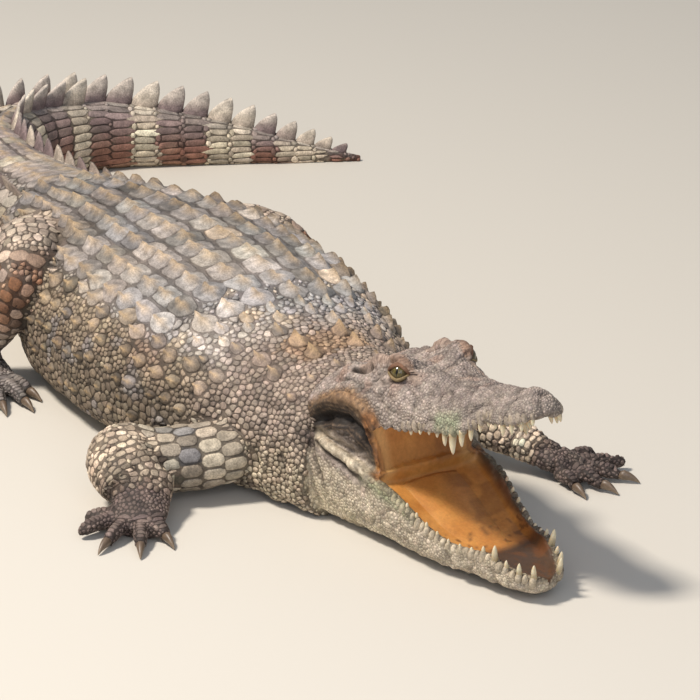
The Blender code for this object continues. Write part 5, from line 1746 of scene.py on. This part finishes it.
def make_teeth(finish):
    """Round ivory cones that curve a little inwards to a blunt point."""
    roots = []
    for frame, side, root, length, down in tooth_rows():
        turn = frame[:3, :3]
        across = 0.0019 + 0.15 * length
        roots.append({
            "point": moved(frame, root)[0], "ahead": turn @ unit(np.array([-2.0 * side, -1.0, 0])),
            "up": turn @ [0, 0, down], "size": (across, across, length),
            "lean": turn @ [-0.1 * length, 0.2 * side * length, 0],
            "bow": turn @ [0, -0.1 * side * length, 0],
        })
    obj, owner = plant("teeth", tooth_cone(), finish, roots)
    foot, size = (np.array([root[key] for root in roots])[owner] for key in ("point", "size"))
    share = np.clip(np.linalg.norm(places(obj.data) - foot, axis=1) / size[:, 2], 0, 1)
    paint(obj.data, blend("#7d6740", "#cfc3a6", ease(0.0, 0.6, share)), crown=share)
    return obj


def gum_swelling():
    """A closed rounded solid one unit in radius."""
    rings = []
    for angle in (-80, -50, -20, 10, 40, 65):
        radius = math.cos(math.radians(angle))
        rings.append(level_ring(math.sin(math.radians(angle)), radius, radius, 12))
    return solid_from_rings(rings, [0, 0, 1])


def make_gums(finish):
    """Rounded swellings in a row along both lips, with dark dips between them."""
    roots = []
    for frame, table, tip, down, pitch in (
        (UPPER_FRAME, UPPER_JAW, UPPER_TIP, -1, 0.0105), (LOWER_FRAME, LOWER_JAW, LOWER_TIP, 1, 0.0108),
    ):
        turn = frame[:3, :3]
        line, run = tooth_line(table, tip, 0.0062)
        for distance in np.arange(0.012, run[-1] - 0.03, pitch):
            for side in (1, -1):
                root = [np.interp(distance + DRAW.normal(0, 0.001), run, line[:, k]) for k in range(3)]
                size = pitch * DRAW.uniform(0.42, 0.58)
                tall = size * DRAW.uniform(1.5, 2.1)
                root = np.array(root) * [1, side, 1] - [0, 0, down * DRAW.uniform(0.72, 0.95) * tall]
                roots.append({
                    "point": moved(frame, root)[0], "ahead": turn @ [-1, 0, 0], "up": turn @ [0, 0, down],
                    "size": (size, size, tall), "part": LOWER if down > 0 else UPPER,
                })
    obj, owner = plant("gums", gum_swelling(), finish, roots)
    points = places(obj.data)
    part = np.array([root["part"] for root in roots], float)[owner]
    colour = marking(points - [0, 0, 0.012], part, np.full(len(points), 0.3), np.zeros(len(points)))
    pale = flecks(points, 0.006, 41)
    colour = colour * (0.55 + 0.6 * (flecks(points, 0.004, 43)))[:, None]
    left = ease(0.04, 0.0, within(LOWER_FRAME, points)[:, 1] * (part == LOWER))
    paint(obj.data, blend(colour, "#c9b48c", 0.3 * pale * left), crown=0.9)
    return obj


def horn_hook():
    """A claw that starts inside its digit and bends down to its point, a little taller than it is wide."""
    ahead, up, bend = np.array([1.0, 0, 0]), np.array([0, 0, 1.0]), math.radians(CLAW_BEND)
    slant = ahead * math.cos(CLAW_SLANT) - up * math.sin(CLAW_SLANT)
    rings = [circle(-0.004 * slant, slant, CLAW_RADIUS * 0.95, 12)]
    for share in np.linspace(0, 1, 10)[1:]:
        turned = math.cos(bend * share) * ahead - math.sin(bend * share) * up
        far = CLAW_LENGTH * math.sin(bend * share) / bend
        drop = CLAW_LENGTH * (1 - math.cos(bend * share)) / bend
        centre = GAP * slant + [far, 0, 0.0022 - drop]
        ring = circle(0 * up, turned, CLAW_RADIUS * (1 - 0.86 * share**1.4), 12)
        rings.append(centre + ring * [1, 1, 1.25])
    return solid_from_rings(rings, rings[-1].mean(0) + 0.002 * turned)


def make_claws(finish):
    """Curved horn claws at the ends of the first three digits."""
    roots = []
    for limb in LIMBS:
        for number in range(CLAWED):
            base, tangent = digit_end(limb, number)
            roots.append({"point": base, "ahead": unit(tangent * [1, 1, 0]), "up": (0, 0, 1),
                          "size": (1, 1, 1)})
    obj, _ = plant("claws", horn_hook(), finish, roots)
    points = places(obj.data)
    points[:, 2] = np.maximum(points[:, 2], FLOOR_CLEARANCE)
    put(obj.data, points)
    share = np.clip(1 - points[:, 2] / 0.017, 0, 1)
    paint(obj.data, blend("#4a3a30", "#94826c", 0.25 + 0.7 * share**2), crown=share)
    return obj


def make_tongue():
    """The broad flat tongue, fast to the floor of the mouth."""
    stations = np.linspace(COMMISSURE / math.cos(GAPE) + 0.006, 0.35, 40)
    rings = []
    for x in stations:
        _, _, _, floor_half, floor = smooth(LOWER_JAW, x)[0]
        swell = math.sin(math.pi * np.interp(x, (stations[0], stations[-1]), (0.32, 0.97)))
        half, bottom = 0.58 * floor_half, floor - 0.002
        angles = np.linspace(0, 2 * math.pi, 33)[:-1]
        y, z = 1.1 * half * np.cos(angles), 0.008 * power(np.sin(angles), 1.8)
        ring = np.stack([np.full(32, x), y, bottom + np.maximum(z, -0.001) * swell], 1)
        rings.append(moved(LOWER_FRAME, ring))
    points, faces = solid_from_rings(rings)
    obj, _ = join_solids("tongue_pad", [(points, faces)])
    points = places(obj.data)
    paint(obj.data, mouth_colour(points), crown=1.0)
    return obj


def make_eye(name, side):
    """An eyeball with its places across and up from its gaze, which put the iris and the slit pupil."""
    out, forward, up = (axis * [1, side, 1] for axis in eye_axes())
    centre = np.array(EYE_CENTRE) * [1, side, 1]
    turn = np.linspace(0, 2 * math.pi, 49)[:-1]
    rings = []
    for angle in np.linspace(170, 4, 36):
        a = math.radians(angle)
        bulge = EYE_RADIUS * (1 + 0.05 * math.exp(-((angle / 30) ** 2)))
        around = np.outer(np.cos(turn), forward) + np.outer(np.sin(turn), up)
        rings.append(centre + bulge * (math.cos(a) * out + math.sin(a) * around))
    if np.cross(forward, up) @ out < 0:
        rings = [ring[::-1] for ring in rings]
    points, faces = solid_from_rings(rings, centre + EYE_RADIUS * 1.05 * out)
    obj, _ = join_solids(name, [(moved(UPPER_FRAME, points), faces)])
    local = (points - centre) / EYE_RADIUS
    store(obj.data, gaze=np.stack([local @ forward, local @ up, np.zeros(len(local))], 1))
    return obj


def make_lids():
    """The thick rims of the upper and lower lids round each eye."""
    solids, kinds = [], []
    for side in (1, -1):
        out, forward, up = (axis * [1, side, 1] for axis in eye_axes())
        centre = np.array(EYE_CENTRE) * [1, side, 1]
        turn = np.linspace(0, 2 * math.pi, 41)[:-1]
        wide = np.radians(LID_WIDTH) * power(np.cos(turn), 2 / LID_CORNER)
        tall = np.radians(np.where(np.sin(turn) > 0, LID_RISE, LID_DROP))
        tall = tall * power(np.sin(turn), 2 / LID_CORNER)
        toward = unit(out + np.tan(wide)[:, None] * forward + np.tan(tall)[:, None] * up)
        middle = centre + toward * (EYE_RADIUS + 0.0014)
        thick = np.where(np.sin(turn) > 0, 0.0029, 0.0021) * (0.6 + 0.4 * np.abs(np.sin(turn)))
        along = unit(np.roll(middle, -1, 0) - np.roll(middle, 1, 0))
        across = np.cross(along, toward)
        sides = np.linspace(0, 2 * math.pi, 11)[:-1]
        round_rim = np.cos(sides)[:, None] * toward[:, None] + 1.3 * np.sin(sides)[:, None] * across[:, None]
        rings = middle[:, None] + thick[:, None, None] * round_rim
        rows, around = rings.shape[:2]
        grid = np.arange(rows * around).reshape(rows, around)
        far = np.roll(grid, -1, 0)
        faces = np.stack([grid, np.roll(grid, -1, 1), np.roll(far, -1, 1), far], -1).reshape(-1, 4)
        solids.append((moved(UPPER_FRAME, rings.reshape(-1, 3)), faces))
        kinds.append(np.repeat(np.sin(turn), around))
    for number, (points, faces) in enumerate(solids):
        a, b, c = points[faces[:, 0]], points[faces[:, 1]], points[faces[:, 2]]
        inner = points.mean(0)
        volume = np.einsum("ij,ij->", np.cross(b - a, c - a), a - inner)
        solids[number] = (points, (faces if volume > 0 else faces[:, ::-1]).tolist())
    obj, _ = join_solids("eyelid_rims", solids)
    high = np.concatenate(kinds)
    paint(obj.data, blend("#857150", "#6b4b37", ease(-0.25, 0.2, high)), crown=0.8)
    return obj


# ---------------------------------------------------------------- finishes


def grain(size_mm):
    """The scale of a noise whose blobs are about size_mm across."""
    return 1000 / (2.2 * size_mm)


def begin_finish(name):
    """(material, its nodes, its shader, the place on the object, the painted marking) of a new finish."""
    made = bpy.data.materials.new(name)
    made.use_nodes = True
    tree = made.node_tree
    where = add_node(tree, "ShaderNodeTexCoord", {}, "Object")
    marks = add_node(tree, "ShaderNodeAttribute", {}, "Color", attribute_name="marking")
    return made, tree, tree.nodes["Principled BSDF"], where, marks


def mottled(tree, colour, noise, darkest, palest):
    """A colour darkened in a noise's hollows and paled on its rises."""
    share = add_node(tree, "ShaderNodeMapRange", {0: noise, 1: 0.3, 2: 0.7, 3: darkest, 4: palest})
    return add_node(tree, "ShaderNodeMix", {0: 1.0, 6: colour, 7: share}, 2, data_type="RGBA",
                    blend_type="MULTIPLY")


def horny_hide(name):
    """Keratin over tough hide: dry and matt, with painted shade darkening it down in the seams, and fine
    pits.
    """
    made, tree, shader, where, marks = begin_finish(name)
    crown = add_node(tree, "ShaderNodeAttribute", {}, "Fac", attribute_name="crown")
    blots, pits, dust = (
        add_node(tree, "ShaderNodeTexNoise",
                 {"Vector": where, "Scale": grain(size), "Detail": detail, "Roughness": rough})
        for size, detail, rough in ((7.0, 3.0, 0.55), (1.3, 4.0, 0.7), (22.0, 3.0, 0.55))
    )
    colour = mottled(tree, mottled(tree, marks, blots, 0.66, 1.27), pits, 0.58, 1.34)
    dusty = add_node(tree, "ShaderNodeMapRange", {0: dust, 1: 0.55, 2: 0.75, 3: 0.0, 4: 0.14})
    colour = add_node(tree, "ShaderNodeMix", {0: dusty, 6: colour, 7: "#b3a691"}, 2, data_type="RGBA")
    # painted shade: a darker copy of the colour, for the seams
    seam_shade = add_node(tree, "ShaderNodeMix", {0: 1.0, 6: colour, 7: "#4f3c31"}, 2, data_type="RGBA",
                    blend_type="MULTIPLY")
    # share of painted seam shade: full where the crown is 0, at the scales' feet and in the gaps, and none
    # from a crown of 0.7 up
    low = add_node(tree, "ShaderNodeMapRange", {0: crown, 1: 0.0, 2: 0.7, 3: 1.0, 4: 0.0})
    relief = add_node(tree, "ShaderNodeMath", {0: blots, 1: 1.5, 2: pits}, operation="MULTIPLY_ADD")
    feed(tree, shader, {
        "Base Color": add_node(tree, "ShaderNodeMix", {0: low, 6: colour, 7: seam_shade}, 2, data_type="RGBA"),
        "Roughness": add_node(tree, "ShaderNodeMapRange", {0: pits, 1: 0.3, 2: 0.7, 3: 0.5, 4: 0.78}),
        "Specular IOR Level": 0.35,
        "Normal": add_node(tree, "ShaderNodeBump", {"Height": relief, "Strength": 1.0, "Distance": 0.0011}),
    })
    return made


def skin_finish():
    """One skin: bare hide between the scales, which turns into the moist lining inside the mouth."""
    made = horny_hide("bare_hide")
    tree = made.node_tree
    shader = tree.nodes["Principled BSDF"]
    lining = add_node(tree, "ShaderNodeAttribute", {}, "Fac", attribute_name="lining")
    marks = add_node(tree, "ShaderNodeAttribute", {}, "Color", attribute_name="marking")
    where = add_node(tree, "ShaderNodeTexCoord", {}, "Object")
    pores = add_node(tree, "ShaderNodeTexNoise",
                     {"Vector": where, "Scale": grain(2.5), "Detail": 4.0, "Roughness": 0.6})
    lined = mottled(tree, marks, pores, 0.88, 1.1)
    hide, matt, relief = (shader.inputs[key].links[0].from_socket
                          for key in ("Base Color", "Roughness", "Normal"))
    feed(tree, shader, {
        "Base Color": add_node(tree, "ShaderNodeMix", {0: lining, 6: hide, 7: lined}, 2, data_type="RGBA"),
        "Roughness": add_node(tree, "ShaderNodeMix", {0: lining, 2: matt, 3: 0.4}),
    })
    feed(tree, relief.node,
         {"Strength": add_node(tree, "ShaderNodeMapRange", {0: lining, 1: 0.0, 2: 1.0, 3: 0.9, 4: 0.25})})
    return made


def mouth_lining():
    """Moist skin of the mouth: smooth, softly glossy and slightly translucent, over fine pores."""
    made, tree, shader, where, marks = begin_finish("mouth_skin_moist")
    pores = add_node(tree, "ShaderNodeTexNoise",
                     {"Vector": where, "Scale": grain(2.0), "Detail": 4.0, "Roughness": 0.6})
    feed(tree, shader, {
        "Base Color": mottled(tree, marks, pores, 0.86, 1.1), "Roughness": 0.5, "Subsurface Weight": 0.15,
        "Subsurface Radius": (0.012, 0.005, 0.002), "Subsurface Scale": 1.0,
        "Normal": add_node(tree, "ShaderNodeBump", {"Height": pores, "Strength": 0.6, "Distance": 0.0004}),
    })
    return made


def ivory():
    """Tooth enamel: creamy, smooth and faintly glossy, stained brown at the gum."""
    made, tree, shader, where, marks = begin_finish("tooth_enamel")
    stain = add_node(tree, "ShaderNodeTexNoise",
                     {"Vector": where, "Scale": grain(3.0), "Detail": 3.0, "Roughness": 0.55})
    share = add_node(tree, "ShaderNodeMapRange", {0: stain, 1: 0.45, 2: 0.75, 3: 0.0, 4: 0.4})
    feed(tree, shader, {
        "Base Color": add_node(tree, "ShaderNodeMix", {0: share, 6: marks, 7: "#b49a66"}, 2,
                               data_type="RGBA"),
        "Roughness": 0.28, "Subsurface Weight": 0.1, "Subsurface Scale": 0.003,
        "Normal": add_node(tree, "ShaderNodeBump", {"Height": stain, "Strength": 0.4, "Distance": 0.0002}),
    })
    return made


def claw_horn():
    """Worn horn: dull brown, with fine wear all over it."""
    made, tree, shader, where, marks = begin_finish("claw_horn")
    wear = add_node(tree, "ShaderNodeTexNoise",
                    {"Vector": where, "Scale": grain(1.6), "Detail": 4.0, "Roughness": 0.7})
    feed(tree, shader, {
        "Base Color": mottled(tree, marks, wear, 0.7, 1.25),
        "Roughness": add_node(tree, "ShaderNodeMapRange", {0: wear, 1: 0.3, 2: 0.7, 3: 0.32, 4: 0.5}),
        "Normal": add_node(tree, "ShaderNodeBump", {"Height": wear, "Strength": 0.7, "Distance": 0.0003}),
    })
    return made


def eye_finish():
    """A wet eye under a clear cornea: an olive iris flecked with brown, and an upright slit pupil."""
    made, tree, shader, where, _ = begin_finish("eye_cornea_and_iris")
    gaze = add_node(tree, "ShaderNodeAttribute", {}, "Vector", attribute_name="gaze")
    far = add_node(tree, "ShaderNodeVectorMath", {0: gaze}, "Value", operation="LENGTH")
    either_side = add_node(tree, "ShaderNodeVectorMath", {0: gaze}, "Vector", operation="ABSOLUTE")
    slit = add_node(tree, "ShaderNodeVectorMath", {0: either_side, 1: (7.5, 1.7, 0)}, "Value",
                    operation="DOT_PRODUCT")
    spots = add_node(tree, "ShaderNodeTexNoise",
                     {"Vector": where, "Scale": grain(1.2), "Detail": 4.0, "Roughness": 0.7})
    iris = "#2c2610"
    for value, low, high, at_low, at_high, colour in (
        (spots, 0.35, 0.65, 0.0, 1.0, "#665a2a"), (far, 0.35, 0.68, 0.0, 0.85, "#3a2c14"),
        (slit, 0.78, 0.9, 1.0, 0.0, "#050403"),
    ):
        share = add_node(tree, "ShaderNodeMapRange", {0: value, 1: low, 2: high, 3: at_low, 4: at_high})
        iris = add_node(tree, "ShaderNodeMix", {0: share, 6: iris, 7: colour}, 2, data_type="RGBA")
    feed(tree, shader, {
        "Base Color": iris, "Roughness": 0.3, "Specular IOR Level": 0.2, "Coat Weight": 0.7,
        "Coat Roughness": 0.03,
    })
    return made


# ---------------------------------------------------------------- putting it together


FLESH = [name for name in frame["nodes"] if not name.endswith("_eye") and "claw" not in name
         and name != "tongue"]


def finish_piece(obj, material, slot, *nodes):
    obj.data.materials.clear()
    obj.data.materials.append(material)
    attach(obj, "root")
    if nodes:
        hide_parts(*nodes)


def bald_skin(points, tags):
    """True where the head's skin is bare: the brows, lids, slits and the folds of the jaw's corner."""
    place = within(UPPER_FRAME, points)
    near_eye = np.linalg.norm(to_left(place) - EYE_CENTRE, axis=1) < 0.024
    return (near_eye | on_smooth_skin(place, 2)) & (tags[:, 0] >= UPPER)


def make_crocodile():
    skin, tags = make_skin()
    lining, opening, rest = shape_skin(skin, tags)
    coat = Coat()
    for place in (place_back, place_flanks, place_neck, place_tail, place_limbs, place_digits):
        place(coat)
    place_granules(coat, skin.data, tags, lining, opening, rest)
    points = places(skin.data)
    tree = BVHTree.FromPolygons(points.tolist(), [tuple(face.vertices) for face in skin.data.polygons])
    scales, roots, colours = grow_coat(coat, tree)
    near = nearest(tree_of(roots), points)
    inside = ease(0.25, 0.6, lining)[:, None]
    bare = bald_skin(rest, tags)
    own = marking(rest, *tags[:, :3].T)
    gap_shade = np.where(tags[:, 0] == BODY, 0.9 - 0.28 * ease(40, 62, np.abs(tags[:, 2])), 0.62)
    gap_shade = np.where(tags[:, 0] >= UPPER, 0.92, gap_shade)
    outside = np.where(bare[:, None], own, colours[near] * gap_shade[:, None])
    # the skin between scales: the nearest scale's colour darkened by gap_shade as painted shade, with a crown
    # that sets the finish's painted seam shade
    paint(skin.data, outside * (1 - inside) + mouth_colour(points) * inside,
          crown=np.where(bare, 0.75, np.where(tags[:, 0] >= UPPER, 0.5, 0.3)), lining=inside[:, 0])

    hide = horny_hide("keratin_scales")
    finish_piece(skin, skin_finish(), "hide", *FLESH)
    for obj in scales:
        finish_piece(obj, hide, "hide")
    finish_piece(make_crest(hide), hide, "hide")
    finish_piece(make_gums(hide), hide, "hide")
    finish_piece(make_lids(), hide, "hide")
    enamel, horn, wet = ivory(), claw_horn(), eye_finish()
    finish_piece(make_teeth(enamel), enamel, "claw")
    finish_piece(make_claws(horn), horn, "claw", *(name for name in frame["nodes"] if "claw" in name))
    finish_piece(make_tongue(), mouth_lining(), "mouth_lining", "tongue")
    for name, side in (("left_eye", 1), ("right_eye", -1)):
        finish_piece(make_eye(name + "_ball", side), wet, "eye", name)


def make_stage():
    """A plain pale floor, a large soft key light high behind the animal's right, and a gentle fill."""
    floor = new_object("floor", [(-9, -9, 0), (9, -9, 0), (9, 9, 0), (-9, 9, 0)], [(0, 1, 2, 3)], False)
    made = bpy.data.materials.new("floor_plaster")
    made.use_nodes = True
    feed(made.node_tree, made.node_tree.nodes["Principled BSDF"], {"Base Color": "#c3beb5", "Roughness": 0.8})
    floor.data.materials.append(made)
    world = bpy.data.worlds.new("studio")
    bpy.context.scene.world = world
    world.use_nodes = True
    feed(world.node_tree, world.node_tree.nodes["Background"], {"Color": "#eaf3ff", "Strength": 0.38})
    for name, place, size, power_w, colour in (
        ("key", (-0.42, -3.06, 5.5), 1.0, 540, "#fff6ea"),
        ("fill", (3.4, -1.6, 2.0), 2.5, 45, "#f4f6ff"),
    ):
        lamp = bpy.data.lights.new(name, "AREA")
        lamp.size, lamp.energy, lamp.color = size, power_w, tuple(shade(colour))
        obj = bpy.data.objects.new(name, lamp)
        obj.location = place
        obj.rotation_euler = (Vector((0.3, 0, 0.1)) - Vector(place)).to_track_quat("-Z", "Y").to_euler()
        bpy.context.scene.collection.objects.link(obj)


def make_camera():
    """A long lens looks down on the head from ahead and to the right."""
    azimuth, elevation, far = math.radians(58), math.radians(21), 6.5
    right = Vector((math.cos(azimuth), math.sin(azimuth), 0))
    level = Vector((-math.sin(azimuth), math.cos(azimuth), 0))
    forward = level * math.cos(elevation) - Vector((0, 0, math.sin(elevation)))
    up = level * math.sin(elevation) + Vector((0, 0, math.cos(elevation)))
    target = Vector((0.62, 0.02, 0)) - right * 0.071 + up * 0.224
    data = bpy.data.cameras.new("camera")
    data.lens = 220.6
    data.clip_end = 60
    camera = bpy.data.objects.new("camera", data)
    camera.matrix_world = Matrix((right, up, -forward)).transposed().to_4x4()
    camera.location = target - forward * far
    bpy.context.scene.collection.objects.link(camera)
    bpy.context.scene.camera = camera


make_crocodile()
make_stage()
make_camera()
bpy.context.scene.view_settings.view_transform = "Standard"
bpy.context.view_layer.update()
